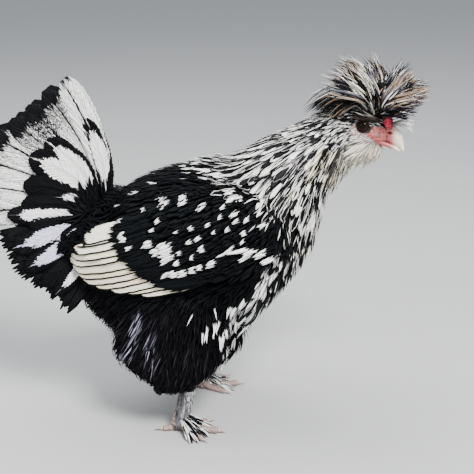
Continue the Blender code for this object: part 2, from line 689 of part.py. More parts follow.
def make_crest(cutters):
    """A round tuft: a low core on the crown and feathers that spread from it and curl over."""
    draw = np.random.default_rng(SEED)
    core = on_head(ball("crest", CREST_ROOT, CREST_CORE_SIZE, "crest_feather", 14, 10))
    locks = []
    for ring, (count, tilt, half) in enumerate(CREST_RINGS):
        for k in range(count):
            turn = 2 * math.pi * (k + 0.5 * (ring % 2)) / count
            turn += draw.uniform(-CREST_TURN_DRAW, CREST_TURN_DRAW)
            ahead = math.cos(turn)
            lean = tilt * (1.0 - CREST_AHEAD_LESS * ahead) + draw.uniform(-CREST_LEAN_DRAW, CREST_LEAN_DRAW)
            lean = math.radians(lean)
            out = Vector((math.cos(turn), math.sin(turn), 0))
            way = out * math.sin(lean) + Vector((0, 0, 1)) * math.cos(lean)
            fore = DOME_AHEAD if ahead > 0 else DOME_BACK
            share = draw.uniform(*CREST_REACH_DRAW)
            tip = Vector(DOME_MIDDLE) + Vector((way.x * fore, way.y * DOME_SIDE, way.z * DOME_UP)) * share
            root = Vector(CREST_ROOT) + Vector(
                (way.x * CREST_CORE_SIZE[0], way.y * CREST_CORE_SIZE[1], way.z * CREST_CORE_SIZE[2])
            ) * CREST_SUNK
            reach = (tip - root).length
            bend = (Vector((0, 0, 1)) * math.sin(lean) + out * CREST_CURL_OUT) * reach * CREST_CURL
            face = way.cross(out.cross(Vector((0, 0, 1))))
            face.rotate(Matrix.Rotation(draw.uniform(-CREST_ROLL, CREST_ROLL), 3, way))
            locks.append(on_head(lock("lock", root, tip, bend, half, LOCK_THICK, face, "crest_feather")))
    fuse(core, locks)
    for cutter in cutters:
        carve(core, cutter)
    return core


def make_beard(cutters):
    """Beard and muffs: locks that hang from the chin and sweep back from both cheeks."""
    draw = np.random.default_rng(SEED + 1)
    core = on_head(ball("beard", BEARD_ROOT, BEARD_CORE_SIZE, "beard_feather", 14, 8))
    locks = []
    for row in range(BEARD_ROWS):
        for k in range(BEARD_LOCKS):
            share = (k + 0.5 * (row % 2)) / (BEARD_LOCKS - 0.5)
            turn = math.radians(-BEARD_SPAN + 2 * BEARD_SPAN * share)
            out = Vector((math.cos(turn), math.sin(turn), 0))
            ahead, high = BEARD_MIDDLE + BEARD_LONG * out.x, BEARD_TOP - BEARD_STEP * row
            root = Vector((ahead, BEARD_WIDE * out.y, high))
            way = Vector((BEARD_SWEEP + BEARD_AHEAD * out.x, BEARD_OUT * out.y, BEARD_DOWN)).normalized()
            reach = BEARD_LENGTH * draw.uniform(*BEARD_REACH_DRAW) * (1.0 - BEARD_ROW_LESS * row)
            face = out + Vector((0, 0, -0.4))
            tip = root + way * reach
            bend = out * BEARD_BEND
            made = lock("lock", root, tip, bend, BEARD_HALF, LOCK_THICK, face, "beard_feather", 2)
            locks.append(on_head(made))
    fuse(core, locks)
    for cutter in cutters:
        carve(core, cutter)
    return core


def thigh_middle(side, z):
    """The thigh's middle at this height, where z is a height of THIGH_ROWS."""
    y = smooth_rows(THIGH_ROWS, z)[2] * (1 if side == "left" else -1)
    low = THIGH_ROWS[0][0]
    drop = max(0.0, (110.0 - z) / (110.0 - low))
    place = z - drop * (low - THIGH_LOW[side])
    return Vector((THIGH_X[side] + THIGH_LEAN[side] * drop, y, place))


def make_thigh(side, cutters):
    """The feathered thigh, parted from the trunk, with stiff feathers behind the hock."""
    out = 1 if side == "left" else -1
    rings = []
    for z in np.linspace(THIGH_ROWS[0][0], THIGH_ROWS[-1][0], THIGH_RINGS):
        half_long, half_wide = smooth_rows(THIGH_ROWS, z)[:2]
        rings.append(oval(thigh_middle(side, z), (1, 0, 0), (0, 1, 0), half_long, half_wide, THIGH_SIDES))
    thigh = loft("thigh_" + side, rings)
    hocks = []
    start = thigh_middle(side, HOCK_HEIGHT)
    for k in range(HOCK_LOCKS):
        share = k / (HOCK_LOCKS - 1)
        root = start + Vector(mirrored(Vector(HOCK_ROOT) + Vector(HOCK_ROOT_STEP) * share, side))
        tip = root + Vector(mirrored(Vector(HOCK_REACH) + Vector(HOCK_REACH_STEP) * share, side))
        bend, face = (2, 0, -3), (0.3, out, 0.2)
        hocks.append(lock("hock", root, tip, bend, HOCK_HALF, LOCK_THIN, face, "black_feather"))
    fuse(thigh, hocks)
    for cutter in cutters:
        carve(thigh, cutter)
    return thigh


def shank_lean(z):
    """Where the shank's middle is at this height, from the foot's place on the floor."""
    return Vector((SHANK_LEAN * (z - ANKLE_HEIGHT) / SHANK_LEAN_OVER, 0, z))


def make_foot(side):
    """Shank, toes and claws of one leg, cut flat where they meet the floor."""
    out = 1 if side == "left" else -1
    foot_at = Vector((FOOT_X[side], FOOT_Y * out, 0))
    top = THIGH_LOW[side] + SHANK_SUNK
    rings = []
    for share in np.linspace(0, 1, SHANK_RINGS):
        z = top + (SHANK_START - top) * share
        middle = foot_at + shank_lean(z)
        half = SHANK_RADIUS * (1.0 + SHANK_SWELL * (2 * share - 1) ** 4)
        rings.append(oval(middle, (1, 0, 0), (0, 1, 0), half * SHANK_LONG, half * SHANK_WIDE, SHANK_SIDES))
    shank = loft("shank_" + side, rings, "foot_scale")
    pad = ball("foot_" + side, foot_at + Vector(PAD_PLACE), PAD_SIZE, "foot_scale", 10, 7)
    toes, claws = [], []
    for name, bearing, length, radius in TOES:
        turn = math.radians(bearing + FOOT_TURN[side]) * out
        ahead = Vector((math.cos(turn), math.sin(turn), 0))
        across = Vector((0, 0, 1)).cross(ahead)
        rings = []
        for share in np.linspace(0, 1, TOE_RINGS):
            knuckle = 1.0 + KNUCKLE * math.cos(share * 6 * math.pi)
            thick = radius * (1.0 - TOE_TAPER * share) * knuckle
            high = thick - TOE_SUNK + (TOE_RISE - radius) * max(0.0, 1 - share / TOE_DOWN_AT) ** 1.6
            middle = foot_at + ahead * length * share + Vector((0, 0, high))
            rings.append(oval(middle, across, (0, 0, 1), thick, thick, TOE_SIDES))
        toes.append(loft("toe", rings, "foot_scale"))
        end = foot_at + ahead * (length + GAP + 0.1)
        end.z = radius * (1.0 - TOE_TAPER) - TOE_SUNK / 2
        rings = []
        for share in np.linspace(0, 1, CLAW_RINGS):
            thick = CLAW_RADIUS * (1 - CLAW_TAPER * share)
            rise = CLAW_ARCH * math.sin(math.pi * share * 0.75) - CLAW_DROP * share**2
            middle = end + ahead * CLAW_LENGTH * share + Vector((0, 0, rise - 0.2))
            rings.append(oval(middle, across, (0, 0, 1), thick * 0.85, thick, CLAW_SIDES))
        claws.append(loft(f"claw_{side}_{name}", rings, "claw_horn"))
    foot = fuse(pad, toes)
    keep_side(foot, (0, 0, 0), (0, 0, 1))
    keep_side(foot, (0, 0, ANKLE_HEIGHT - GAP / 2), (0, 0, -1))
    plumes = []
    for k in range(PLUMES):
        high = top - PLUME_TOP - (top - PLUME_LOW) * k / (PLUMES - 1)
        turn = math.radians(PLUME_TURN + PLUME_FAN * (k % 3 - 1)) * out
        away = Vector((math.cos(turn), math.sin(turn), 0))
        root = foot_at + shank_lean(high) + away * PLUME_SUNK
        tip = root + away * PLUME_OUT + Vector((1, 0, -min(PLUME_DROP, high - PLUME_CLEAR)))
        bend = away * PLUME_BEND
        plumes.append(lock("plume", root, tip, bend, PLUME_HALF, LOCK_THIN, away, "white_feather", 2))
    fuse(shank, plumes)
    foot_cutter = grown(foot)
    carve(shank, foot_cutter)
    keep_side(shank, (0, 0, SHANK_FOOT), (0, 0, 1))
    remove(foot_cutter)
    return shank, foot, claws


def wing_sheet(out):
    """The outer side of one folded wing: gives the point over a place of the side view."""

    def place(x, z, lift=0.0):
        y = trunk_half_width(x, max(z, WING_HANG)) + WING_OUT + lift
        return (x, out * y, z)

    return place


def make_wing(side, cutters):
    """A folded wing: a thin core on the trunk's side, with flights and two tiers of coverts."""
    out = 1 if side == "left" else -1
    sheet = wing_sheet(out)
    rings = []
    for share, lift in WING_CORE_RINGS:
        ring = []
        for k in range(WING_CORE_SIDES):
            turn = 2 * math.pi * k / WING_CORE_SIDES
            x = WING_CORE_MIDDLE[0] + WING_CORE_SIZE[0] * share * math.cos(turn)
            z = WING_CORE_MIDDLE[1] + WING_CORE_SIZE[1] * share * math.sin(turn)
            ring.append(sheet(x, z, lift))
        rings.append(ring)
    core = loft("wing_" + side, rings)
    vanes = []
    for rows, count, half, lift, shingle, steps in WING_TIERS:
        for k in range(count):
            place = smooth_rows(rows, k / (count - 1))
            vanes.append(
                sheet_vane(
                    "vane", sheet, place[:2], place[2:], half, WING_BOW, lift, shingle, "black_feather",
                    steps,
                )
            )
    fuse(core, vanes)
    for cutter in cutters:
        carve(core, cutter)
    return core


def tail_sheet(out):
    """One side of the tented tail, which stands further out towards its lower edge."""

    def place(x, z, lift=0.0):
        dx, dz = x - TAIL_ROOT[0], z - TAIL_ROOT[1]
        reach, angle = math.hypot(dx, dz), math.degrees(math.atan2(dz, dx)) % 360
        low = np.clip((angle - TAIL_TOP_ANGLE + 12) / (TAIL_LOW_ANGLE - TAIL_TOP_ANGLE + 12), 0, 1.25)
        y = TAIL_RIDGE_GAP + reach * (TENT_NARROW + (TENT_WIDE - TENT_NARROW) * low**TENT_EASE) + lift
        return (x, out * y, z)

    return place


def make_tail(torso):
    """The fan of main feathers on both sides, its coverts, and the feathers under it."""
    core = ball("tail", TAIL_CORE, TAIL_CORE_SIZE, "black_feather", 16, 12)
    socket = grown(core, GAP + 0.2)
    carve(torso, socket)
    remove(socket)
    vanes = []
    for out in (-1, 1):
        sheet = tail_sheet(out)
        for k in range(TAIL_FEATHERS):
            share = k / (TAIL_FEATHERS - 1)
            angle = math.radians(TAIL_TOP_ANGLE + (TAIL_LOW_ANGLE - TAIL_TOP_ANGLE) * share)
            way = np.array((math.cos(angle), math.sin(angle)))
            root = np.array(TAIL_ROOT) + way * TAIL_FEATHER_ROOT
            tip = np.array(TAIL_ROOT) + way * TAIL_LENGTH
            vanes.append(
                sheet_vane(
                    "rectrix", sheet, root, tip, TAIL_HALF_WIDTH, TAIL_BOW, 0.0, TAIL_SHINGLE,
                    "white_feather", 4, TAIL_BROAD_AT,
                )
            )
        for k in range(TAIL_COVERTS):
            share = k / (TAIL_COVERTS - 1)
            angle = math.radians(COVERT_ANGLE + COVERT_SPREAD * share)
            way = np.array((math.cos(angle), math.sin(angle)))
            root = np.array(TAIL_ROOT) + way * COVERT_ROOT - np.array((0.0, COVERT_DROP))
            tip = root + way * TAIL_COVERT_LENGTH * (1.0 - COVERT_LESS * share)
            vanes.append(
                sheet_vane(
                    "covert", sheet, root, tip, TAIL_COVERT_HALF, COVERT_BOW, COVERT_LIFT, TAIL_SHINGLE,
                    "black_feather", 3, 0.7,
                )
            )
        for k in range(UNDER_COVERTS):
            share = k / (UNDER_COVERTS - 1)
            side = "left" if out == 1 else "right"
            root = Vector(mirrored(Vector(UNDER_ROOT) + Vector(UNDER_ROOT_STEP) * share, side))
            tip = root + Vector(mirrored(Vector(UNDER_REACH) + Vector(UNDER_REACH_STEP) * share, side))
            bend, face = (0, out * 3, -3), (0, 1, 0.2)
            vanes.append(
                lock("under_covert", root, tip, bend, UNDER_COVERT_HALF, LOCK_THIN, face, "black_feather")
            )
    fuse(core, vanes)
    torso_cutter = grown(torso)
    carve(core, torso_cutter)
    return torso_cutter


def set_origin():
    """Moves the hen so that the origin is under the middle of its box, on the floor."""
    bpy.context.view_layer.update()
    parts = [obj for obj in bpy.context.scene.objects if obj.type == "MESH"]
    corners = np.array([tuple(vert.co) for obj in parts for vert in obj.data.vertices])
    low, high = corners.min(axis=0), corners.max(axis=0)
    shift = Vector((-(low[0] + high[0]) / 2, -(low[1] + high[1]) / 2, 0.0))
    for obj in parts:
        obj.data.transform(Matrix.Translation(shift))
        obj.data.shade_smooth()
        obj.data.set_sharp_from_angle(angle=math.radians(40))


def main():
    clear_scene()
    torso, neck, head = make_flesh()
    eyes = make_face(head)
    head_cutter = grown(head)
    carve(neck, head_cutter)
    torso_cutter = make_tail(torso)
    neck_cutter = grown(neck)
    face_cutters = [head_cutter, neck_cutter] + [grown(eye) for eye in eyes]
    face_cutters += make_bill(head_cutter)
    comb = make_comb(face_cutters)
    comb_cutter = grown(comb, 0.9)
    make_crest(face_cutters + [comb_cutter])
    make_beard(face_cutters)
    body_cutters = [torso_cutter, neck_cutter]
    for side in ("right", "left"):
        shank = make_foot(side)[0]
        shank_cutter = grown(shank)
        thigh = make_thigh(side, [torso_cutter, shank_cutter])
        remove(shank_cutter)
        body_cutters.append(grown(thigh))
    for side in ("right", "left"):
        make_wing(side, body_cutters)
    remove(torso_cutter, comb_cutter, *face_cutters, *body_cutters[2:])
    set_origin()


main()
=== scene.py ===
"""A life-size standing hen, black and white spangled, with a crest, muffs and feathered legs.

Places named in millimetres are in the hen's own drawing frame: x ahead, y to its left, z up from
the floor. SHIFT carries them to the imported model's frame.
"""

import json
import math

import bmesh
import bpy
import numpy as np
from mathutils import Matrix, Vector, kdtree
from mathutils.bvhtree import BVHTree

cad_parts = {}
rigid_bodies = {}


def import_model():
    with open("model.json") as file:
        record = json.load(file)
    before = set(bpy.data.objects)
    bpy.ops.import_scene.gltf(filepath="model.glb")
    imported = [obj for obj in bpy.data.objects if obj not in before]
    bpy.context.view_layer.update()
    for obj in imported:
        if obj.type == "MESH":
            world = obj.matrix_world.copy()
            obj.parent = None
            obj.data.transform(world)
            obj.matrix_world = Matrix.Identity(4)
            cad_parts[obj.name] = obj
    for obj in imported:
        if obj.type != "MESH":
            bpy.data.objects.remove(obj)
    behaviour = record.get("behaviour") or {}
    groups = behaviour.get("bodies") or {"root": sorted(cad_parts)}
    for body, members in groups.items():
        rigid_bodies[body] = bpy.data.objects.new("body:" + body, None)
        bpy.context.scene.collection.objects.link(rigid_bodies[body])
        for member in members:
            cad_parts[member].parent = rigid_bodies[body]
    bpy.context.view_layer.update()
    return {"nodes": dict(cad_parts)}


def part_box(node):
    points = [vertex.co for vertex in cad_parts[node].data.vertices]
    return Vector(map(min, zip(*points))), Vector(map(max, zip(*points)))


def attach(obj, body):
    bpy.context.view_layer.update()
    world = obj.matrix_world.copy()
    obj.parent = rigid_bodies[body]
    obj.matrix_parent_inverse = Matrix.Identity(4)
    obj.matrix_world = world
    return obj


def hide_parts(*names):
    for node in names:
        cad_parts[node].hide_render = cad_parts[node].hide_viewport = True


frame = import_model()

MM = 0.001
SIDES = {"right": -1, "left": 1}

# The head's own frame, forward +x, and places in it.
HEAD_PLACE = (108.5, 0.0, 289.7)
HEAD_YAW, HEAD_PITCH = math.radians(-18.0), math.radians(12.0)
EYE_PLACE, EYE_RADIUS = (9.0, 11.2, 2.6), 5.8
LID_OPENING = 5.5
DOME_MIDDLE = (2.0, 0.0, 13.0)
DOME_AHEAD, DOME_SIDE, DOME_UP = 61.0, 47.0, 52.0
COMB_ROOT = np.array((28.0, 0.0, 14.0))

# Trunk rows: x, back height, belly height, half width, as the wings lie on them.
TRUNK_REAR, TRUNK_FRONT, TRUNK_SQUARE = -172.0, 76.0, 2.25
TRUNK_ROWS = (
    (-172, 200, 128, 26),
    (-140, 214, 96, 41),
    (-110, 229, 76, 52),
    (-75, 243, 70, 58),
    (-30, 258, 74, 60),
    (10, 264, 90, 58),
    (45, 262, 117, 52),
    (76, 238, 138, 43),
)
WING_OUT, WING_HANG = 7.0, 178.0
WING_MIDDLE, WING_SIZE = (-34.0, 197.0), (74.0, 41.0)
# The pad under a wing's feathers: share of the wing's size, lift over its sheet.
WING_PAD = ((0.3, -4.0), (0.7, -4.0), (0.9, -5.0), (0.98, -8.0), (1.03, -14.0), (1.05, -24.0), (0.6, -30.0))

# The line that the plumage follows, from the bill over the neck to the tail: x, z.
FLOW_LINE = (
    (150, 272), (118, 286), (100, 283), (84, 270), (64, 246), (44, 218),
    (18, 190), (-22, 176), (-70, 172), (-120, 176), (-170, 186),
)

TAIL_ROOT = (-131.0, 203.0)
TAIL_TOP_ANGLE, TAIL_LOW_ANGLE = 103.0, 186.0
TENT_NARROW, TENT_WIDE = 0.03, 0.26

FOOT_X, FOOT_Y = {"right": -55.0, "left": -37.0}, 44.0
FOOT_TURN = {"right": 10.0, "left": 4.0}
THIGH_LOW = {"right": 42.0, "left": 27.0}
# The thigh's rear: how far back at its foot and higher up, and the height of its foot.
THIGH_REAR = {"right": (-74.0, -118.0, 42.0), "left": (-56.0, -101.0, 27.0)}
SHANK_LEAN, ANKLE_HEIGHT = 9.0, 14.0
TOE_PLATE, SHANK_PLATE = 2.7, 3.2
TOES = (("hind", 160.0, 16.0), ("inner", -34.0, 28.0), ("middle", 2.0, 37.0), ("outer", 36.0, 31.0))

BLACK = (0.0026, 0.0028, 0.0034)
DOWN_BLACK = (0.0042, 0.0040, 0.0050)
WHITE = (0.90, 0.89, 0.86)
CREAM = (0.84, 0.76, 0.60)
BAY_CREAM = (0.86, 0.75, 0.50)
GREY = (0.26, 0.26, 0.28)
LAVENDER = (0.60, 0.58, 0.72)
DARK = {"ground": BLACK, "ink": WHITE}
BILL_ROOT, BILL_TIP, BILL_RIM = (0.50, 0.11, 0.12), (0.86, 0.76, 0.62), (0.60, 0.38, 0.34)
SCALE_DARK, SCALE_BROWN, SCALE_GREY = (0.13, 0.09, 0.08), (0.34, 0.245, 0.22), (0.20, 0.18, 0.18)

# Camera: distance from the hen's middle plane, height it looks at and tilt.
CAMERA_REACH, CAMERA_AIM, CAMERA_TILT = 902.0, 180.333, math.radians(18.0)
# The picture's side and focal length in pixels, the camera's sensor and lens in millimetres.
PICTURE_SIDE, PICTURE_FOCUS = 474.0, 950.0
PICTURE_MIDDLE = PICTURE_SIDE / 2
SENSOR = 36.0
CAMERA_LENS = PICTURE_FOCUS / PICTURE_SIDE * SENSOR
# How far to the side rays that pass the hen are met.
EDGE_SIDE = -30.0


def head_matrix():
    """Carries the head's own frame to its place."""
    turn = Matrix.Rotation(HEAD_YAW, 4, "Z") @ Matrix.Rotation(HEAD_PITCH, 4, "Y")
    return Matrix.Translation(Vector(HEAD_PLACE)) @ turn


def eye_shift():
    """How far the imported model's frame is from the drawing frame, from the right eye."""
    low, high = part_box("eye_right")
    middle = (Vector(low) + Vector(high)) / 2 / MM
    return np.array(middle - head_matrix() @ Vector((EYE_PLACE[0], -EYE_PLACE[1], EYE_PLACE[2])))


SHIFT = eye_shift()
HEAD = np.array(head_matrix())


def from_head(points):
    """Places in the head's frame, in the drawing frame."""
    return np.asarray(points, float) @ HEAD[:3, :3].T + HEAD[:3, 3]


def turn_from_head(ways):
    """Directions in the head's frame, in the drawing frame."""
    return np.asarray(ways, float) @ HEAD[:3, :3].T


def to_head(points):
    """Places in the drawing frame, in the head's frame."""
    return (np.asarray(points, float) - HEAD[:3, 3]) @ HEAD[:3, :3]


def unit(ways):
    """Directions of length one."""
    return ways / np.maximum(np.linalg.norm(ways, axis=-1, keepdims=True), 1e-9)


def ease(value, low, high):
    """0 below low, 1 above high and a smooth rise between."""
    share = np.clip((np.asarray(value, float) - low) / (high - low), 0.0, 1.0)
    return share * share * (3 - 2 * share)


def blend_to(first, second, share):
    """A mix of two colours or numbers, with one share for each feather."""
    share = np.asarray(share, float)[..., None]
    return np.asarray(first, float) * (1 - share) + np.asarray(second, float) * share


def smooth_rows(rows, at):
    """Each column of the rows at these values of the first column, on a smooth curve."""
    table = np.array(rows, float)
    at = np.asarray(at, float)
    keys, values = table[:, 0], table[:, 1:]
    slopes = np.gradient(values, keys, axis=0)
    step = np.clip(np.searchsorted(keys, at) - 1, 0, len(keys) - 2)
    span = (keys[step + 1] - keys[step])[..., None]
    t = np.clip((at[..., None] - keys[step][..., None]) / span, 0.0, 1.0)
    return (
        (2 * t**3 - 3 * t**2 + 1) * values[step]
        + (t**3 - 2 * t**2 + t) * span * slopes[step]
        + (3 * t**2 - 2 * t**3) * values[step + 1]
        + (t**3 - t**2) * span * slopes[step + 1]
    )


# Plain object helpers


def deselect_all():
    """Leaves nothing selected."""
    for obj in bpy.context.view_layer.objects:
        obj.select_set(False)


def pick(obj):
    """Makes this the only selected object."""
    deselect_all()
    obj.select_set(True)
    bpy.context.view_layer.objects.active = obj


def apply_all(obj):
    """Applies the object's modifiers in order."""
    pick(obj)
    for modifier in list(obj.modifiers):
        bpy.ops.object.modifier_apply(modifier=modifier.name)


def node_copy(name, nodes):
    """One new object from copies of CAD nodes, each merged and facing out."""
    copies = []
    for node in nodes:
        source = frame["nodes"][node]
        data = source.data.copy()
        data.materials.clear()
        mesh = bmesh.new()
        mesh.from_mesh(data)
        bmesh.ops.remove_doubles(mesh, verts=mesh.verts[:], dist=1e-6)
        bmesh.ops.recalc_face_normals(mesh, faces=mesh.faces[:])
        mesh.to_mesh(data)
        mesh.free()
        made = bpy.data.objects.new(name, data)
        bpy.context.scene.collection.objects.link(made)
        copies.append(made)
    deselect_all()
    for made in copies:
        made.select_set(True)
    bpy.context.view_layer.objects.active = copies[0]
    if len(copies) > 1:
        bpy.ops.object.join()
    made = bpy.context.view_layer.objects.active
    made.name = name
    return made


def vertex_array(obj):
    """The object's vertices in the drawing frame."""
    flat = np.empty(len(obj.data.vertices) * 3)
    obj.data.vertices.foreach_get("co", flat)
    return flat.reshape(-1, 3) / MM - SHIFT


def normal_array(obj):
    """The object's vertex normals."""
    flat = np.empty(len(obj.data.vertices) * 3)
    obj.data.vertex_normals.foreach_get("vector", flat)
    return flat.reshape(-1, 3)


def set_vertices(obj, points):
    """Moves the object's vertices to places in the drawing frame."""
    obj.data.vertices.foreach_set("co", ((points + SHIFT) * MM).ravel())
    obj.data.update()


def remeshed(obj, voxel, smooth, grow=0.0):
    """Makes the object one even, smooth skin of small faces, sizes in millimetres."""
    if grow:
        set_vertices(obj, vertex_array(obj) + normal_array(obj) * grow)
    step = obj.modifiers.new("even", "REMESH")
    step.mode = "VOXEL"
    step.voxel_size = voxel * MM
    soft = obj.modifiers.new("soft", "SMOOTH")
    soft.factor = 0.5
    soft.iterations = smooth
    apply_all(obj)
    pick(obj)
    bpy.ops.object.shade_smooth()
    return obj


def paint(obj, name, colours):
    """Stores one colour with each vertex."""
    found = obj.data.attributes.get(name) or obj.data.attributes.new(name, "FLOAT_COLOR", "POINT")
    rgba = np.ones((len(obj.data.vertices), 4))
    rgba[:, :3] = colours
    found.data.foreach_set("color", rgba.ravel())


def finish_piece(obj, material, slot, *nodes):
    """Gives a piece its material, and hides the CAD nodes that it replaces; its slot is not used."""
    obj.data.materials.clear()
    obj.data.materials.append(material)
    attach(obj, "root")
    if nodes:
        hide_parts(*nodes)
    return obj


# Materials


class Wiring:
    """Adds nodes to a tree and links them."""

    def __init__(self, tree):
        self.tree = tree

    def node(self, kind, **values):
        made = self.tree.nodes.new(kind)
        for key, value in values.items():
            setattr(made, key, value)
        return made

    def feed(self, socket, value):
        if isinstance(value, bpy.types.NodeSocket):
            self.tree.links.new(value, socket)
        elif value is not None:
            socket.default_value = value

    def sum(self, operation, *values, clamp=False):
        made = self.node("ShaderNodeMath", operation=operation, use_clamp=clamp)
        for socket, value in zip(made.inputs, values):
            self.feed(socket, value)
        return made.outputs[0]

    def ramp(self, value, low, high, smooth=True):
        made = self.node("ShaderNodeMapRange", interpolation_type="SMOOTHSTEP" if smooth else "LINEAR")
        for socket, given in zip(made.inputs[:3], (value, low, high)):
            self.feed(socket, given)
        return made.outputs[0]

    def mix(self, share, first, second, kind="MIX"):
        made = self.node("ShaderNodeMix", data_type="RGBA", blend_type=kind)
        for socket, value in zip((made.inputs[0], made.inputs[6], made.inputs[7]), (share, first, second)):
            self.feed(socket, value)
        return made.outputs[2]

    def noise(self, place, scale, detail=2.0, roughness=0.5):
        made = self.node("ShaderNodeTexNoise")
        self.feed(made.inputs["Vector"], place)
        made.inputs["Scale"].default_value = scale
        made.inputs["Detail"].default_value = detail
        made.inputs["Roughness"].default_value = roughness
        return made.outputs[0]

    def attribute(self, name):
        return self.node("ShaderNodeAttribute", attribute_name=name)

    def stretched(self, place, scale):
        made = self.node("ShaderNodeMapping")
        self.feed(made.inputs["Vector"], place)
        made.inputs["Scale"].default_value = scale
        return made.outputs[0]


def vane_group():
    """Markings of one feather: stripe, tip, painted shadow at one edge, barbs and pepper, from its own map.
    """
    group = bpy.data.node_groups.new("Feather markings", "ShaderNodeTree")
    for name, kind in (("Vane", "NodeSocketVector"), ("Chance", "NodeSocketFloat"),
                       ("Stripe", "NodeSocketFloat"), ("Tip", "NodeSocketFloat"),
                       ("Pepper", "NodeSocketFloat"), ("Stripe from", "NodeSocketFloat"),
                       ("Stripe to", "NodeSocketFloat"), ("Tip bow", "NodeSocketFloat")):
        group.interface.new_socket(name=name, in_out="INPUT", socket_type=kind)
    for name in ("Stripe mask", "Tip mask", "Edge shadow mask", "Barbs", "Root shade", "Streak"):
        group.interface.new_socket(name=name, in_out="OUTPUT", socket_type="NodeSocketFloat")
    w = Wiring(group)
    given, out = w.node("NodeGroupInput"), w.node("NodeGroupOutput")
    split = w.node("ShaderNodeSeparateXYZ")
    w.feed(split.inputs[0], given.outputs["Vane"])
    along = split.outputs[1]
    across = w.sum("SUBTRACT", w.sum("MULTIPLY", split.outputs[0], 2.0), 1.0)
    out_from_middle = w.sum("ABSOLUTE", across)
    chance = given.outputs["Chance"]
    place = w.node("ShaderNodeCombineXYZ")
    w.feed(place.inputs[0], across)
    w.feed(place.inputs[1], along)
    w.feed(place.inputs[2], w.sum("MULTIPLY", chance, 37.0))
    ragged = w.sum("SUBTRACT", w.noise(w.stretched(place.outputs[0], (5.0, 3.0, 1.0)), 1.6, 2.0), 0.5)
    line = w.noise(w.stretched(place.outputs[0], (7.0, 0.7, 1.0)), 1.5, 2.0, 0.6)
    along_ragged = w.sum("ADD", along, w.sum("MULTIPLY", ragged, 0.22))
    start, end = given.outputs["Stripe from"], given.outputs["Stripe to"]
    share = w.sum("DIVIDE", w.sum("SUBTRACT", along_ragged, start), w.sum("SUBTRACT", end, start), clamp=True)
    belly = w.sum("MULTIPLY", w.sum("MULTIPLY", share, w.sum("SUBTRACT", 1.0, share)), 4.0)
    width = w.sum("MULTIPLY", w.sum("POWER", belly, 0.55), given.outputs["Stripe"])
    gap = w.sum("SUBTRACT", width, w.sum("ADD", out_from_middle, w.sum("MULTIPLY", ragged, 0.30)))
    striped = w.sum("GREATER_THAN", given.outputs["Stripe"], 0.02)
    w.feed(out.inputs["Stripe mask"], w.sum("MULTIPLY", w.ramp(gap, -0.03, 0.05), striped))
    bow = w.sum("MULTIPLY", w.sum("MULTIPLY", across, across), given.outputs["Tip bow"])
    reach = w.sum("ADD", w.sum("ADD", along, bow), w.sum("MULTIPLY", ragged, 0.16))
    edge = w.sum("SUBTRACT", 1.0, given.outputs["Tip"])
    tipped = w.sum("GREATER_THAN", given.outputs["Tip"], 0.005)
    tip = w.sum("MULTIPLY", w.ramp(w.sum("SUBTRACT", reach, edge), 0.0, 0.025), tipped)
    fleck = w.noise(w.stretched(place.outputs[0], (9.0, 22.0, 1.0)), 2.2, 3.0, 0.7)
    near_tip = w.ramp(along, w.sum("SUBTRACT", edge, 0.42), edge)
    amount = w.sum("MULTIPLY", w.sum("MULTIPLY", near_tip, given.outputs["Pepper"]), 0.26)
    pepper = w.ramp(w.sum("ADD", fleck, amount), 0.67, 0.71)
    pepper = w.sum("MULTIPLY", pepper, w.sum("MINIMUM", given.outputs["Pepper"], 1.0))
    w.feed(out.inputs["Tip mask"], w.sum("MAXIMUM", tip, pepper, clamp=True))
    # Painted shadow: a thin dark line along the edge that the sign of Stripe picks, for the gap between
    # overlapping flights.
    edge_shadow = w.sum("ADD", w.sum("MULTIPLY", across, given.outputs["Stripe"]), w.sum("MULTIPLY", ragged, 0.05))
    w.feed(out.inputs["Edge shadow mask"], w.ramp(edge_shadow, 0.80, 0.84))
    slant = w.sum("ADD", w.sum("MULTIPLY", along, 52.0), w.sum("MULTIPLY", out_from_middle, -9.0))
    barb = w.sum("SINE", w.sum("ADD", w.sum("MULTIPLY", slant, 6.2832), w.sum("MULTIPLY", ragged, 9.0)))
    shaft = w.ramp(out_from_middle, 0.20, 0.0)
    w.feed(out.inputs["Barbs"], w.sum("ADD", w.sum("MULTIPLY", barb, 0.35), w.sum("MULTIPLY", shaft, 0.5)))
    # Darker towards the root: partly the grey down at a feather's base, partly painted shade under the
    # feathers that cover it.
    w.feed(out.inputs["Root shade"], w.ramp(along, 0.0, 0.5))
    w.feed(out.inputs["Streak"], line)
    return group


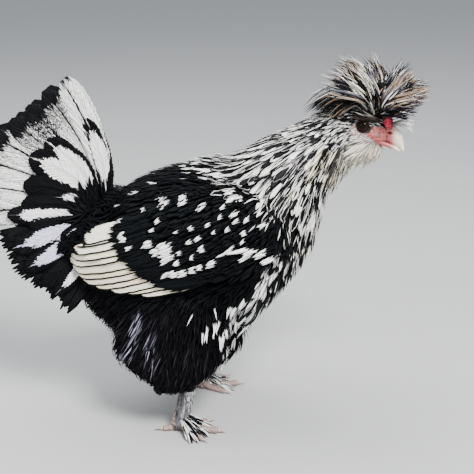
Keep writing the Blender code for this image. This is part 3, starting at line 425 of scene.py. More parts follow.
def feather_material(name, markings, stripe_span=(0.42, 1.0), tip_bow=0.10, roughness=0.5, specular=0.3,
                     root=0.35, streaks=0.25, sheen=0.0, gloss=None, bump=0.2, edge_shadow=False):
    """A feather's finish: its own two colours, laid out by its markings, with barbs as bump."""
    made = bpy.data.materials.new(name)
    made.use_nodes = True
    w = Wiring(made.node_tree)
    shader = made.node_tree.nodes["Principled BSDF"]
    vane = w.node("ShaderNodeUVMap", uv_map="Vane")
    marks = w.attribute("marks")
    split = w.node("ShaderNodeSeparateXYZ")
    w.feed(split.inputs[0], marks.outputs["Vector"])
    group = w.node("ShaderNodeGroup")
    group.node_tree = markings
    for key, value in (("Vane", vane.outputs[0]), ("Chance", split.outputs[0]), ("Stripe", split.outputs[1]),
                       ("Tip", split.outputs[2]), ("Pepper", marks.outputs["Alpha"]),
                       ("Stripe from", stripe_span[0]), ("Stripe to", stripe_span[1]), ("Tip bow", tip_bow)):
        w.feed(group.inputs[key], value)
    ground, ink = w.attribute("ground").outputs["Color"], w.attribute("ink").outputs["Color"]
    streaked = w.sum("MULTIPLY", w.ramp(group.outputs["Streak"], 0.3, 0.55), streaks)
    shade = w.sum("ADD", streaked, 1.0 - streaks)
    # Root sets the level at the root: grey down and painted shade together.
    rooted = w.sum("ADD", w.sum("MULTIPLY", group.outputs["Root shade"], 1.0 - root), root)
    grey = w.node("ShaderNodeCombineColor")
    level = w.sum("MULTIPLY", shade, rooted)
    for socket in grey.inputs[:3]:
        w.feed(socket, level)
    base = w.mix(1.0, ground, grey.outputs[0], "MULTIPLY")
    # Bay flights take the ink on a painted shadow line along one edge instead of on the stripe.
    line = group.outputs["Edge shadow mask" if edge_shadow else "Stripe mask"]
    colour = w.mix(w.sum("MAXIMUM", line, group.outputs["Tip mask"]), base, ink)
    w.feed(shader.inputs["Base Color"], colour)
    bumped = w.node("ShaderNodeBump")
    bumped.inputs["Strength"].default_value = bump
    bumped.inputs["Distance"].default_value = 0.0001
    w.feed(bumped.inputs["Height"], group.outputs["Barbs"])
    w.feed(shader.inputs["Normal"], bumped.outputs[0])
    rough = w.sum("ADD", w.sum("MULTIPLY", group.outputs["Streak"], 0.2), roughness - 0.1)
    w.feed(shader.inputs["Roughness"], rough)
    shader.inputs["Specular IOR Level"].default_value = specular
    if gloss:
        shader.inputs["Specular Tint"].default_value = (*gloss, 1.0)
    shader.inputs["Sheen Weight"].default_value = sheen
    shader.inputs["Sheen Roughness"].default_value = 0.4
    return made


def skin_material():
    """Bare red face and scaly skin, from the colour stored on each vertex."""
    made = bpy.data.materials.new("hen_skin")
    made.use_nodes = True
    w = Wiring(made.node_tree)
    shader = made.node_tree.nodes["Principled BSDF"]
    place = w.node("ShaderNodeTexCoord").outputs["Object"]
    fine, broad = w.noise(place, 2600.0, 3.0, 0.6), w.noise(place, 420.0, 2.0)
    tone = w.mix(w.ramp(broad, 0.38, 0.62), (0.62, 0.50, 0.50, 1), (1.15, 1.10, 1.10, 1))
    w.feed(shader.inputs["Base Color"], w.mix(1.0, w.attribute("tone").outputs["Color"], tone, "MULTIPLY"))
    bumped = w.node("ShaderNodeBump")
    bumped.inputs["Strength"].default_value = 0.5
    bumped.inputs["Distance"].default_value = 0.0007
    w.feed(bumped.inputs["Height"], w.sum("ADD", fine, w.sum("MULTIPLY", broad, 1.5)))
    w.feed(shader.inputs["Normal"], bumped.outputs[0])
    shader.inputs["Roughness"].default_value = 0.55
    shader.inputs["Specular IOR Level"].default_value = 0.14
    shader.inputs["Subsurface Weight"].default_value = 0.08
    shader.inputs["Subsurface Radius"].default_value = (0.004, 0.0015, 0.001)
    return made


def horn_material(name, roughness, grain):
    """Bill, claws and scales: the stored colour with long fine growth lines."""
    made = bpy.data.materials.new(name)
    made.use_nodes = True
    w = Wiring(made.node_tree)
    shader = made.node_tree.nodes["Principled BSDF"]
    place = w.node("ShaderNodeTexCoord").outputs["Object"]
    cloud = w.noise(place, grain, 3.0, 0.6)
    tone = w.mix(w.ramp(cloud, 0.3, 0.7), (0.80, 0.78, 0.76, 1), (1.06, 1.04, 1.02, 1))
    w.feed(shader.inputs["Base Color"], w.mix(1.0, w.attribute("tone").outputs["Color"], tone, "MULTIPLY"))
    bumped = w.node("ShaderNodeBump")
    bumped.inputs["Strength"].default_value = 0.35
    bumped.inputs["Distance"].default_value = 0.0003
    w.feed(bumped.inputs["Height"], cloud)
    w.feed(shader.inputs["Normal"], bumped.outputs[0])
    w.feed(shader.inputs["Roughness"], w.sum("ADD", w.sum("MULTIPLY", cloud, 0.25), roughness - 0.12))
    return made


def eye_material():
    """A wet dark brown eye with a black pupil."""
    made = bpy.data.materials.new("hen_eye")
    made.use_nodes = True
    w = Wiring(made.node_tree)
    shader = made.node_tree.nodes["Principled BSDF"]
    ring = w.attribute("ring").outputs["Fac"]
    place = w.node("ShaderNodeTexCoord").outputs["Object"]
    fleck = w.noise(place, 900.0, 3.0, 0.7)
    iris = w.mix(w.ramp(fleck, 0.35, 0.65), (0.007, 0.003, 0.002, 1), (0.026, 0.009, 0.004, 1))
    rim = w.mix(w.ramp(ring, 0.72, 0.88), iris, (0.008, 0.004, 0.004, 1))
    w.feed(shader.inputs["Base Color"], w.mix(w.ramp(ring, 0.50, 0.44), rim, (0.002, 0.002, 0.002, 1)))
    shader.inputs["Roughness"].default_value = 0.18
    shader.inputs["Specular IOR Level"].default_value = 0.05
    shader.inputs["Coat Weight"].default_value = 0.10
    shader.inputs["Coat Roughness"].default_value = 0.04
    return made


# The skin


def wing_reach(points):
    """0 at the middle of a folded wing, 1 at its rim in the side view, and more elsewhere."""
    across = (points[:, 0] - WING_MIDDLE[0]) / WING_SIZE[0]
    up = (points[:, 2] - WING_MIDDLE[1]) / WING_SIZE[1]
    return np.where(np.abs(points[:, 1]) > 28.0, np.hypot(across, up), 9.0)


def wing_slope(heights):
    """How steeply a folded wing's feathers point down and back at these heights, in radians."""
    return np.radians(24.0 + 14.0 * (heights - WING_MIDDLE[1]) / WING_SIZE[1])


def plumage_side(points):
    """How far a place is to the side of the hen, from 0 on the middle plane to 1."""
    return np.clip(np.abs(points[:, 1]) / 50.0, 0.0, 1.0)


def sight(across, down):
    """The camera's place and the way it looks through a place in the picture."""
    level, rise = math.cos(CAMERA_TILT), math.sin(CAMERA_TILT)
    eye = np.array((0.0, -CAMERA_REACH * level, CAMERA_AIM + CAMERA_REACH * rise))
    ahead, up = np.array((0.0, level, -rise)), np.array((0.0, rise, level))
    way = ahead * PICTURE_FOCUS + np.array((1.0, 0, 0)) * (across - PICTURE_MIDDLE)
    return eye, way + up * (PICTURE_MIDDLE - down)


def on_sheet(sheet, across, down, lift=0.0):
    """The side-view place where a place in the picture falls on a near side's sheet."""
    eye, way = sight(across, down)
    y = -40.0
    for _ in range(12):
        reach = (y - eye[1]) / way[1]
        x, z = eye[0] + way[0] * reach, eye[2] + way[2] * reach
        y = float(sheet(np.array([x]), np.array([z]), lift)[0, 1])
    return np.array((x, z))


def cape_share(points):
    """Above 0 where the neck's long feathers have their roots, below 0 on the body, in millimetres."""
    over = (points[:, 0] + 35.0) * 0.582 + (points[:, 2] - 258.0) * 0.813
    return over - 2.0 - 9.0 * plumage_side(points) ** 2 - 4.0 * ease(points[:, 0], 25.0, 60.0)


def head_share(points):
    """Above 0 on the head, in millimetres ahead of the cut at its back."""
    return (points[:, 0] - 90.0) * 0.92 + (points[:, 2] - 277.0) * 0.392


def thigh_share(points):
    """1 on the thighs and 0 on the trunk."""
    side = np.abs(points[:, 1])
    ahead = np.where(points[:, 1] > 0, 14.0, 2.0)
    low = ease(points[:, 2], 156.0, 132.0) * ease(side, 12.0, 24.0)
    return low * ease(points[:, 0], ahead + 8, ahead - 10) * ease(points[:, 0], -124.0, -108.0)


def rear_share(points):
    """1 on the fluff under the tail and behind the thighs, 0 elsewhere."""
    return ease(points[:, 0], -88.0, -112.0) * ease(points[:, 2], 196.0, 166.0)


def flow(points):
    """The way the feathers point at each place, before it is laid on the skin."""
    line = np.array(FLOW_LINE, float)
    middles = (line[1:] + line[:-1]) / 2
    ways = unit(line[1:] - line[:-1])
    gaps = points[:, None, [0, 2]] - middles[None]
    near = 1.0 / (np.sum(gaps**2, axis=-1) + 60.0) ** 2
    near /= near.sum(axis=1, keepdims=True)
    flat = near @ ways
    base = np.stack([flat[:, 0], np.zeros(len(points)), flat[:, 1]], axis=1)
    base[:, 2] -= 0.35 * ease(points[:, 2], 215.0, 150.0)
    base[:, 1] += 0.10 * np.sign(points[:, 1]) * ease(points[:, 0], 60.0, -60.0)
    slope = wing_slope(points[:, 2])
    folded = np.stack([-np.cos(slope), np.zeros(len(points)), -np.sin(slope)], axis=1)
    on_wing = ease(wing_reach(points), 1.1, 0.8) * ease(cape_share(points), 12.0, -12.0)
    base = blend_to(unit(base), folded, on_wing)
    down = np.tile(np.array([-0.30, 0.0, -1.0]), (len(points), 1))
    base = blend_to(base, down, thigh_share(points) * 0.95)
    rear = np.tile(np.array([-0.75, 0.0, -0.75]), (len(points), 1))
    return unit(blend_to(base, rear, rear_share(points) * 0.8))


def coat_depth(points):
    """How deep the feathers are over the skin, in millimetres."""
    neck = blend_to([3.0], [8.5], ease(cape_share(points), 88.0, 0.0))[:, 0]
    depth = np.where(cape_share(points) > -18, neck, 9.0)
    over_foot = points[:, 2] - np.where(points[:, 1] > 0, THIGH_LOW["left"], THIGH_LOW["right"])
    thigh = 3.5 + 5.5 * ease(over_foot, 8.0, 60.0)
    depth = depth * (1 - thigh_share(points)) + thigh * thigh_share(points)
    head = to_head(points)
    face = ease(head[:, 0], -16.0, 4.0)
    on_head = 2.6 * (1 - face) + 0.9 * face
    return np.where(head_share(points) > 0, on_head, depth)


def bare_face(points):
    """1 on the bare skin round the eye and the root of the bill, 0 on feathered skin."""
    head = to_head(points)
    low = -10.0 + 0.40 * (24.0 - head[:, 0])
    lores = ease(head[:, 0], 12.5, 15.0) * ease(head[:, 2], low - 1, low + 1) * ease(head[:, 2], 5.0, 3.0)
    eye = np.hypot(head[:, 0] - EYE_PLACE[0], head[:, 2] - EYE_PLACE[2])
    return np.maximum(lores, ease(eye, 7.4, 6.4)) * (head_share(points) > 0)


def skin_tones(points):
    """The skin's colour: red on the face, dark under the coat."""
    shade = blend_to(GREY, np.array(BLACK) * 2, ease(cape_share(points), 20.0, -20.0))
    head = to_head(points)
    shade = blend_to(shade, (0.50, 0.42, 0.36), (head_share(points) > 0) * ease(head[:, 2], 4.0, -2.0))
    brow = ease(head[:, 2], 2.5, 5.0) * ease(head[:, 0], 31.0, 28.0) * ease(head[:, 0], 4.0, 9.0)
    shade = blend_to(shade, BLACK, (head_share(points) > 0) * brow)
    face = blend_to((0.66, 0.24, 0.21), (0.52, 0.06, 0.09), ease(head[:, 2] + 0.35 * head[:, 0], 3.0, -2.0))
    face = blend_to(face, (0.50, 0.07, 0.09), ease(head[:, 2], 2.0, 4.5) * ease(head[:, 0], 22.0, 26.0))
    eye = np.hypot(head[:, 0] - EYE_PLACE[0], head[:, 2] - EYE_PLACE[2])
    face = blend_to((0.016, 0.013, 0.012), face, ease(eye, 7.6, 9.0))
    return blend_to(shade, face, bare_face(points))


def make_skin(finish):
    """One skin over trunk, neck, head and thighs, inside the solids by the depth of the coat."""
    nodes = ("torso", "neck", "head", "thigh_left", "thigh_right")
    skin = remeshed(node_copy("hen_skin", nodes), 1.9, 5, grow=0.35)
    points = vertex_array(skin)
    ends = zip(THIGH_REAR["left"], THIGH_REAR["right"])
    low, high, start = (np.where(points[:, 1] > 0, *pair) for pair in ends)
    rear = low + (high - low) * ease(points[:, 2], start, start + 42.0)
    behind = (points[:, 2] < start + 42.0) & (np.abs(points[:, 1]) > 12.0)
    points[:, 0] = np.where(behind, np.maximum(points[:, 0], rear), points[:, 0])
    set_vertices(skin, points)
    ways = normal_array(skin)
    for share in (0.5, 0.5):
        set_vertices(skin, points - ways * coat_depth(points)[:, None] * share)
        soft = skin.modifiers.new("soft", "SMOOTH")
        soft.iterations = 2
        apply_all(skin)
        ways = normal_array(skin)
        inner = vertex_array(skin)
        points = np.where(head_share(inner)[:, None] > 6, points - ways * coat_depth(points)[:, None] * share,
                          inner)
    set_vertices(skin, points)
    paint(skin, "tone", skin_tones(points))
    pick(skin)
    skin.data.uv_layers.new(name="OFBake")
    bpy.ops.object.mode_set(mode="EDIT")
    bpy.ops.mesh.select_all(action="SELECT")
    bpy.ops.uv.smart_project(angle_limit=math.radians(66), island_margin=0.002)
    bpy.ops.object.mode_set(mode="OBJECT")
    return finish_piece(skin, finish, "black_feather", *nodes)


def make_cover(skin):
    """The skin and the folded wings as one surface, for the outer feathers to lie on."""
    cover = skin.copy()
    cover.data = skin.data.copy()
    bpy.context.scene.collection.objects.link(cover)
    mesh = bmesh.new()
    mesh.from_mesh(cover.data)
    turn = np.linspace(0, 2 * math.pi, 40, endpoint=False)
    for out in (-1, 1):
        rings = []
        for share, lift in WING_PAD:
            x = WING_MIDDLE[0] + WING_SIZE[0] * share * np.cos(turn)
            z = WING_MIDDLE[1] + WING_SIZE[1] * share * np.sin(turn)
            places = (wing_sheet(out)(x, z, lift) + SHIFT) * MM
            rings.append([mesh.verts.new(place) for place in places.tolist()])
        for near, far in zip(rings, rings[1:]):
            for k in range(len(turn)):
                mesh.faces.new((near[k], near[k - 1], far[k - 1], far[k]))
        mesh.faces.new(rings[0])
        mesh.faces.new(rings[-1][::-1])
    bmesh.ops.recalc_face_normals(mesh, faces=mesh.faces[:])
    mesh.to_mesh(cover.data)
    mesh.free()
    remeshed(cover, 2.4, 4)
    surface = Ground(cover)
    bpy.data.objects.remove(cover)
    return surface


class Ground:
    """A surface to lay feathers on: nearest place, normal and map."""

    def __init__(self, skin):
        self.points = vertex_array(skin)
        data = skin.data
        count = len(data.polygons)
        starts = np.empty(count, int)
        totals = np.empty(count, int)
        data.polygons.foreach_get("loop_start", starts)
        data.polygons.foreach_get("loop_total", totals)
        corners = np.empty(len(data.loops), int)
        data.loops.foreach_get("vertex_index", corners)
        self.faces = [corners[a:a + n].tolist() for a, n in zip(starts, totals)]
        self.tree = BVHTree.FromPolygons(self.points.tolist(), self.faces)
        maps = np.zeros(len(data.loops) * 2)
        if "OFBake" in data.uv_layers:
            data.uv_layers["OFBake"].data.foreach_get("uv", maps)
        maps = maps.reshape(-1, 2)
        self.maps = np.add.reduceat(maps, starts, axis=0) / totals[:, None]
        self.middles = np.add.reduceat(self.points[corners], starts, axis=0) / totals[:, None]
        ways = np.empty(count * 3)
        data.polygons.foreach_get("normal", ways)
        self.ways = ways.reshape(-1, 3)

    def nearest(self, places):
        """The nearest place on the surface to each place, its normal and its face."""
        spots, ways = np.empty((2, len(places), 3))
        faces = np.empty(len(places), int)
        for k, place in enumerate(places.tolist()):
            spot, way, face, _ = self.tree.find_nearest(place)
            spots[k], ways[k], faces[k] = spot, way, face
        return spots, ways, faces

    def seen(self, rows):
        """Where places in the picture fall on the near side."""
        spots = []
        for row in rows:
            eye, way = sight(row[0], row[1])
            spot = self.tree.ray_cast(eye.tolist(), way.tolist())[0]
            if spot is None:
                beside = eye + way * (EDGE_SIDE - eye[1]) / way[1]
                spot = self.tree.find_nearest(beside.tolist())[0]
            spots.append(spot[:])
        return np.array(spots)

    def spread(self, spacing, wanted, draw, stretch=1.0):
        """Even random roots: faces as far from one another as the spacing, and further along the lie."""
        ways = flow(self.middles)
        chosen = np.flatnonzero(wanted)
        tree = kdtree.KDTree(len(chosen))
        for k, index in enumerate(chosen):
            tree.insert(self.middles[index], k)
        tree.balance()
        blocked = np.zeros(len(chosen), bool)
        kept = []
        for k in draw.permutation(len(chosen)):
            if blocked[k]:
                continue
            index = chosen[k]
            kept.append(index)
            found = tree.find_range(self.middles[index], spacing[index] * stretch)
            others = np.array([k for _, k, _ in found])
            gaps = self.middles[chosen[others]] - self.middles[index]
            along = gaps @ ways[index]
            across = np.sum(gaps**2, axis=1) - along**2
            near = (along / stretch) ** 2 + across * stretch**2 <= spacing[index] ** 2 + 1e-6
            blocked[others[near]] = True
        return np.array(kept, int)


def stand_out(roots, ways, normals, lengths, rows, out, droop, bow=0.08):
    """Middle lines of soft tufts that leave the skin at a low angle and bend down."""
    ahead = unit(ways + normals * np.asarray(out)[:, None])
    share = np.linspace(0, 1, rows)[None, :, None]
    mids = roots[:, None] + ahead[:, None] * lengths[:, None, None] * share
    mids = mids + normals[:, None] * (np.sin(math.pi * share) * lengths[:, None, None] * bow)
    mids[..., 2] -= (lengths * droop)[:, None] * share[..., 0] ** 2
    return mids, np.repeat(normals[:, None], rows, axis=1)


def lay(ground, roots, ways, lengths, rows, low, high, loft=0.5):
    """Middle lines of feathers that lie along the skin, from height low at the root to high at the tip."""
    count = len(roots)
    mids, normals = np.empty((count, rows, 3)), np.empty((count, rows, 3))
    place, way = roots.copy(), unit(ways)
    step = (lengths / (rows - 1))[:, None]
    for k in range(rows):
        spot, normal, _ = ground.nearest(place)
        share = (k / (rows - 1)) ** loft
        mids[:, k] = spot + normal * (low + (high - low) * share)[:, None]
        normals[:, k] = normal
        way = unit(way - normal * np.sum(way * normal, axis=1, keepdims=True))
        place = mids[:, k] + way * step
    smoothed = normals.copy()
    smoothed[:, 1:-1] = normals[:, :-2] + normals[:, 1:-1] + normals[:, 2:]
    return mids, unit(smoothed)


class Coat:
    """Gathers feathers and turns them into one joined mesh of closed vanes."""

    def __init__(self, ground, seed):
        self.ground = ground
        self.draw = np.random.default_rng(seed)
        self.points, self.corners, self.totals = [], [], []
        self.vanes, self.patches, self.colours = [], [], {"ground": [], "ink": [], "marks": []}
        self.count = 0

    def add(self, mids, normals, half, thick, outline, colours, columns=3, cup=0.25, roll=None, ragged=0.0,
            centre=None, roots=None):
        """Adds feathers given by their middle lines, normals, half widths and outline."""
        number, rows = mids.shape[:2]
        if number == 0:
            return
        ahead = np.gradient(mids, axis=1)
        across = unit(np.cross(normals, ahead))
        normals = unit(np.cross(ahead, across))
        if roll is not None:
            turn = roll[:, None, None]
            across, normals = (across * np.cos(turn) + normals * np.sin(turn),
                               normals * np.cos(turn) - across * np.sin(turn))
        shares = np.linspace(0, 1, rows)
        widths = np.interp(shares, *np.array(outline, float).T)[None] * half[:, None]
        over = np.linspace(-1, 1, columns)
        slots = [(u, 1) for u in over] + [(u, -1) for u in over[-2:0:-1]]
        ring = len(slots)
        body = np.empty((number, rows, ring, 3))
        vane = np.empty((number, rows, ring, 2))
        taper = np.interp(shares, (0, 0.7, 1), (1, 0.6, 0.12))[None, :, None]
        left, right = (widths * (1 + ragged * self.draw.uniform(-1, 1, widths.shape)) for _ in range(2))
        for k, (u, face) in enumerate(slots):
            wide = left if u < 0 else right
            rise = -cup * wide[..., None] * u * u + face * thick * (1 - u * u) * taper
            body[:, :, k] = mids + across * (wide * u)[..., None] + normals * rise
            if centre is None:
                vane[:, :, k, 0] = (u + 1) / 2
                vane[:, :, k, 1] = shares
            else:
                vane[:, :, k] = centre + np.array((0.0, 0.02)) * u
        base = self.count + np.arange(number)[:, None] * rows * ring
        for row in range(rows - 1):
            for k in range(ring):
                a, b = row * ring + k, row * ring + (k + 1) % ring
                self.corners.append((base + np.array([a, a + ring, b + ring, b])).ravel())
                self.totals.append(np.full(number, 4))
        ends = np.arange(ring)
        self.corners.append((base + ends).ravel())
        self.corners.append((base + (rows - 1) * ring + ends[::-1]).ravel())
        self.totals.append(np.full(2 * number, ring))
        self.points.append(body.reshape(-1, 3))
        flat = vane.reshape(number, -1, 2)
        self.vanes.append(flat.reshape(-1, 2))
        _, _, faces = self.ground.nearest(mids[:, 0] if roots is None else roots)
        spread = np.clip(flat, 0, 1) - 0.5
        self.patches.append((self.ground.maps[faces][:, None] + spread * 0.003).reshape(-1, 2))
        each = rows * ring
        for key in ("ground", "ink"):
            colour = np.broadcast_to(np.asarray(colours.get(key, BLACK), float), (number, 3))
            rgba = np.concatenate([colour, np.ones((number, 1))], axis=1)
            self.colours[key].append(np.repeat(rgba, each, axis=0))
        marks = np.zeros((number, 4))
        marks[:, 0] = colours.get("chance", self.draw.uniform(0, 1, number))
        for column, key in ((1, "stripe"), (2, "tip"), (3, "pepper")):
            marks[:, column] = colours.get(key, 0.0)
        self.colours["marks"].append(np.repeat(marks, each, axis=0))
        self.count += number * each

    def add_barbed(self, mids, normals, half, outline, colours, barbs=20, slant=0.16, split=0.35):
        """Adds broad feathers, each of a shaft and of overlapping bunches of barbs on both sides of it."""
        number, rows = mids.shape[:2]
        length = np.linalg.norm(np.diff(mids, axis=1), axis=2).sum(axis=1)
        ahead = np.gradient(mids, axis=1)
        across = unit(np.cross(normals, ahead))
        normals = unit(np.cross(ahead, across))
        marks = {key: np.broadcast_to(np.asarray(colours.get(key, 0.0), float), (number,))
                 for key in ("stripe", "tip", "pepper")}
        chance = self.draw.uniform(0, 1, number)
        tones = {key: np.broadcast_to(np.asarray(colours.get(key, BLACK), float), (number, 3))
                 for key in ("ground", "ink")}
        keys, values = np.array(outline, float).T
        steps = 5
        for k in range(number):
            lines, faces, wide, centre = [], [], [], []
            places = 1 - (1 - np.linspace(0.04, 1.0, barbs)) ** 1.15
            for side in (-1, 1):
                end_v = np.clip(places + self.draw.normal(0, 0.25 / barbs, barbs), 0.03, 1.0)
                end_u = np.interp(end_v, keys, values) * self.draw.uniform(0.95, 1.03, barbs)
                end_u[-1] *= 0.4
                start_v = np.maximum(end_v - slant * (0.35 + 0.65 * end_u), 0.0)
                t = np.linspace(0, 1, steps)[None]
                u = side * end_u[:, None] * t ** 1.12
                v = start_v[:, None] + (end_v - start_v)[:, None] * t ** 0.85
                at = np.clip(v, 0, 1) * (rows - 1)
                low = np.minimum(at.astype(int), rows - 2)
                part = (at - low)[..., None]
                middle = mids[k, low] * (1 - part) + mids[k, low + 1] * part
                beside = across[k, low] * (1 - part) + across[k, low + 1] * part
                above = normals[k, low] * (1 - part) + normals[k, low + 1] * part
                lift = self.draw.normal(0, 0.10, (barbs, 1)) + 0.12 * (np.arange(barbs)[:, None] % 2)
                rise = (lift * t - 0.05 * u * u * half[k])[..., None]
                lines.append(middle + beside * (u * half[k])[..., None] + above * rise)
                faces.append(unit(above))
                gap = np.gradient(end_v) * length[k]
                lean = np.clip(end_u * half[k] / np.maximum((end_v - start_v) * length[k], 1e-3), 0.35, 1.6)
                wide.append(np.clip(gap * np.sin(np.arctan(lean)) * 0.75 + 0.25, 0.5, 3.2))
                centre.append(np.stack([(u + 1) / 2, v], axis=-1))
            lines, faces = np.concatenate(lines), np.concatenate(faces)
            wide, centre = np.concatenate(wide), np.concatenate(centre)
            many = len(lines)
            given = {key: tones[key][k] for key in tones}
            given.update({key: marks[key][k] for key in marks})
            given["chance"] = chance[k]
            shape = ((0, 0.8), (0.5, 1.0), (0.8, 0.95), (1, split))
            self.add(lines, faces, wide, 0.16, shape, given, 3, 0.05, centre=centre[:, :, None][:, :, 0],
                     roots=np.repeat(mids[k, :1], many, axis=0))
        shaft = mids + normals * 0.25
        line = np.zeros((number, rows, 2))
        line[..., 0], line[..., 1] = 0.5, np.linspace(0, 1, rows)
        given = {**{key: tones[key] for key in tones}, **marks, "chance": chance}
        self.add(shaft, normals, np.full(number, 0.6), 0.35, ((0, 1), (0.8, 0.5), (1, 0.2)), given, 3, 0.0,
                 centre=line, roots=mids[:, 0])

    def piece(self, name, material, slot, *nodes):
        """Makes the joined mesh."""
        points = (np.concatenate(self.points) + SHIFT) * MM
        corners, totals = np.concatenate(self.corners), np.concatenate(self.totals)
        data = bpy.data.meshes.new(name)
        data.vertices.add(len(points))
        data.vertices.foreach_set("co", points.ravel())
        data.loops.add(len(corners))
        data.loops.foreach_set("vertex_index", corners)
        data.polygons.add(len(totals))
        data.polygons.foreach_set("loop_start", np.concatenate([[0], np.cumsum(totals)[:-1]]))
        data.polygons.foreach_set("use_smooth", np.ones(len(totals), bool))
        data.update(calc_edges=True)
        for key, values in (("OFBake", self.patches), ("Vane", self.vanes)):
            layer = data.uv_layers.new(name=key)
            layer.data.foreach_set("uv", np.concatenate(values)[corners].ravel())
        for key, values in self.colours.items():
            layer = data.attributes.new(key, "FLOAT_COLOR", "POINT")
            layer.data.foreach_set("color", np.concatenate(values).ravel())
        made = bpy.data.objects.new(name, data)
        bpy.context.scene.collection.objects.link(made)
        return finish_piece(made, material, slot, *nodes)


# Crest: its outline as lean and reach, then lean and share of white, tan and grey.
CREST_LOCKS, CREST_STRANDS = 190, 19
CREST_PLACE = (22.9, 7.5)
CREST_EDGE = (
    (-100, 66), (-96, 75), (-84, 67), (-71, 63), (-59, 73), (-53, 75), (-41, 66),
    (-29, 64), (-19, 56), (-13, 50), (-9, 44), (-4, 54), (8, 61), (20, 54),
    (30, 52), (42, 57), (48, 53), (54, 36), (60, 28),
)
CREST_TONES = (
    (-100, 0.16, 0.34, 0.12), (-80, 0.20, 0.36, 0.12), (-62, 0.26, 0.30, 0.12), (-50, 0.40, 0.18, 0.14),
    (-30, 0.42, 0.08, 0.18), (-12, 0.26, 0.05, 0.26), (8, 0.28, 0.04, 0.34), (30, 0.26, 0.16, 0.26),
    (50, 0.30, 0.34, 0.10), (62, 0.30, 0.34, 0.05),
)
CHIN_MIDDLE, CHIN_SIZE = (11.0, 0.0, -13.5), (17.0, 11.5, 6.5)

# White of the breast: half width in the picture, share of dashes, and a line through it.
BREAST_WHITE = (
    (4, 0.3, ((214, 251), (236, 251), (260, 252))),
    (8, 0.5, ((266, 254), (273, 270), (268, 285), (256, 300), (243, 316), (230, 327))),
    (5, 0.6, ((206, 331), (228, 330), (230, 340), (217, 350))),
    (9, 1, ((318, 206), (306, 236), (292, 264), (278, 288), (262, 312))),
)

# Marks of the body and of the wing: place in the picture, length and half width in millimetres.
BODY_MARKS = (
    (206, 177, 12, 2.6), (216, 182, 12, 2.2), (228, 196, 9, 2.6), (236, 202, 8, 2.6),
    (198, 171, 10, 2.2), (208, 312, 10, 0.9), (228, 323, 14, 2.6), (228, 304, 11, 1.8),
    (212, 342, 12, 1.4), (223, 345, 12, 1.8), (198, 334, 13, 0.8), (217, 330, 9, 1.4),
    (202, 330, 13, 1), (209, 328, 13, 1.6), (221, 325, 12, 2), (235, 313, 12, 2.2),
    (220, 308, 11, 1.2), (214, 336, 11, 1), (228, 338, 11, 1.5), (188, 318, 10, 0.5),
    (131, 187.5, 9, 1.5), (156, 191, 10, 2), (124, 211, 6, 1.8), (238, 299, 8, 2.2),
    (246, 219, 7, 1.6), (258, 226, 8, 1.8), (240, 241, 6, 1.4), (222, 209, 6, 1.4),
)
WING_MARKS = (
    (160, 197, 10, 2.2), (164, 203, 9, 3.6), (181, 200, 10, 4.2), (200, 207, 12, 2.6),
    (142, 210, 4, 1.5), (119, 221, 4, 1.8), (156, 222, 4, 2), (122, 237, 6, 4),
    (127, 249, 4, 2), (146, 245, 10, 4), (163, 249, 13, 5.6), (165, 259, 13, 5),
    (154, 253, 8, 3), (178, 254, 5, 2.4), (191, 258, 4, 2.8), (187, 243, 5, 2.2),
    (200, 250, 5, 3.6), (164, 276, 5, 2.6), (172, 275, 6, 3), (181, 274, 6, 3.4),
    (190, 271, 5, 3), (199, 268, 6, 3), (209, 265, 6, 3.2), (206, 226, 5, 1.5),
    (219, 218, 3, 1.5), (227, 230, 4, 1.8), (243, 234, 4, 2), (226, 253, 14, 1.4),
    (238, 252, 14, 1.8), (250, 253, 13, 2.2), (260, 255, 12, 2.8), (244, 259, 10, 1.4),
    (266, 262, 9, 3), (190, 229, 4, 1.6), (175, 233, 5, 1.4), (196, 240, 6, 2),
    (213, 233, 4, 1.2), (150, 231, 4, 1.4), (235, 222, 5, 1.4), (176, 264, 5, 1.8),
)

# A wing's flights and the band over them, from above to below: roots and tips in the side view.
WING_FLIGHTS, WING_BAND = 12, 150
FLIGHT_ROWS = (
    (0, -84, 218, -136, 196),
    (0.33, -86, 195, -154, 174),
    (0.66, -72, 175, -142, 153),
    (1, -34, 160, -90, 149),
)
BAND_ROWS = (
    (0, -76, 223, -109, 210),
    (0.25, -80, 206, -112, 194),
    (0.5, -72, 188, -100, 176),
    (0.75, -54, 172, -84, 163),
    (1, -26, 162, -60, 153),
)

# Tail feathers: root, middle and tip in the picture, half width, black tip and pepper.
TAIL_FANS = (
    ((104, 204), (92, 138), (62, 80), 11, 0.06, 0.5),
    ((103, 206), (80, 140), (44, 90), 13, 0.16, 0.9),
    ((101, 208), (70, 150), (27, 106), 13.5, 0.17, 1),
    ((99, 210), (60, 160), (10, 120), 14, 0.17, 0.9),
    ((98, 211), (48, 168), (-11, 135), 14.5, 0.17, 0.7),
    ((97, 212), (40, 179), (-28, 158), 14.5, 0.17, 0.6),
    ((96, 214), (34, 194), (-39, 186), 14.5, 0.17, 0.7),
    ((96, 216), (34, 210), (-39, 216), 14.5, 0.18, 0.7),
)
# Coverts of the tail: root, middle and tip in the picture, half width, white stripe, its lavender.
TAIL_COVERTS = (
    ((107, 200), (102, 160), (86, 118), 8, 0.85, 0),
    ((102, 204), (80, 168), (46, 140), 12, 0.62, 0),
    ((101, 206), (74, 178), (30, 156), 15, 0.74, 0),
    ((100, 208), (66, 192), (24, 184), 12, 0, 0),
    ((101, 208), (82, 200), (56, 196), 8, 0.60, 0.4),
    ((99, 212), (62, 205), (22, 204), 11, 0, 0),
    ((99, 213), (60, 214), (8, 214), 10, 0.72, 0.3),
    ((98, 216), (66, 219), (30, 224), 9, 0, 0),
    ((100, 216), (62, 230), (14, 247), 12.5, 0.62, 1),
    ((100, 220), (72, 240), (26, 268), 11, 0.60, 1),
    ((101, 214), (86, 224), (62, 240), 8, 0.42, 0.5),
    ((101, 224), (80, 252), (44, 284), 10, 0, 0),
    ((102, 226), (86, 258), (56, 293), 8, 0.50, 0.3),
)
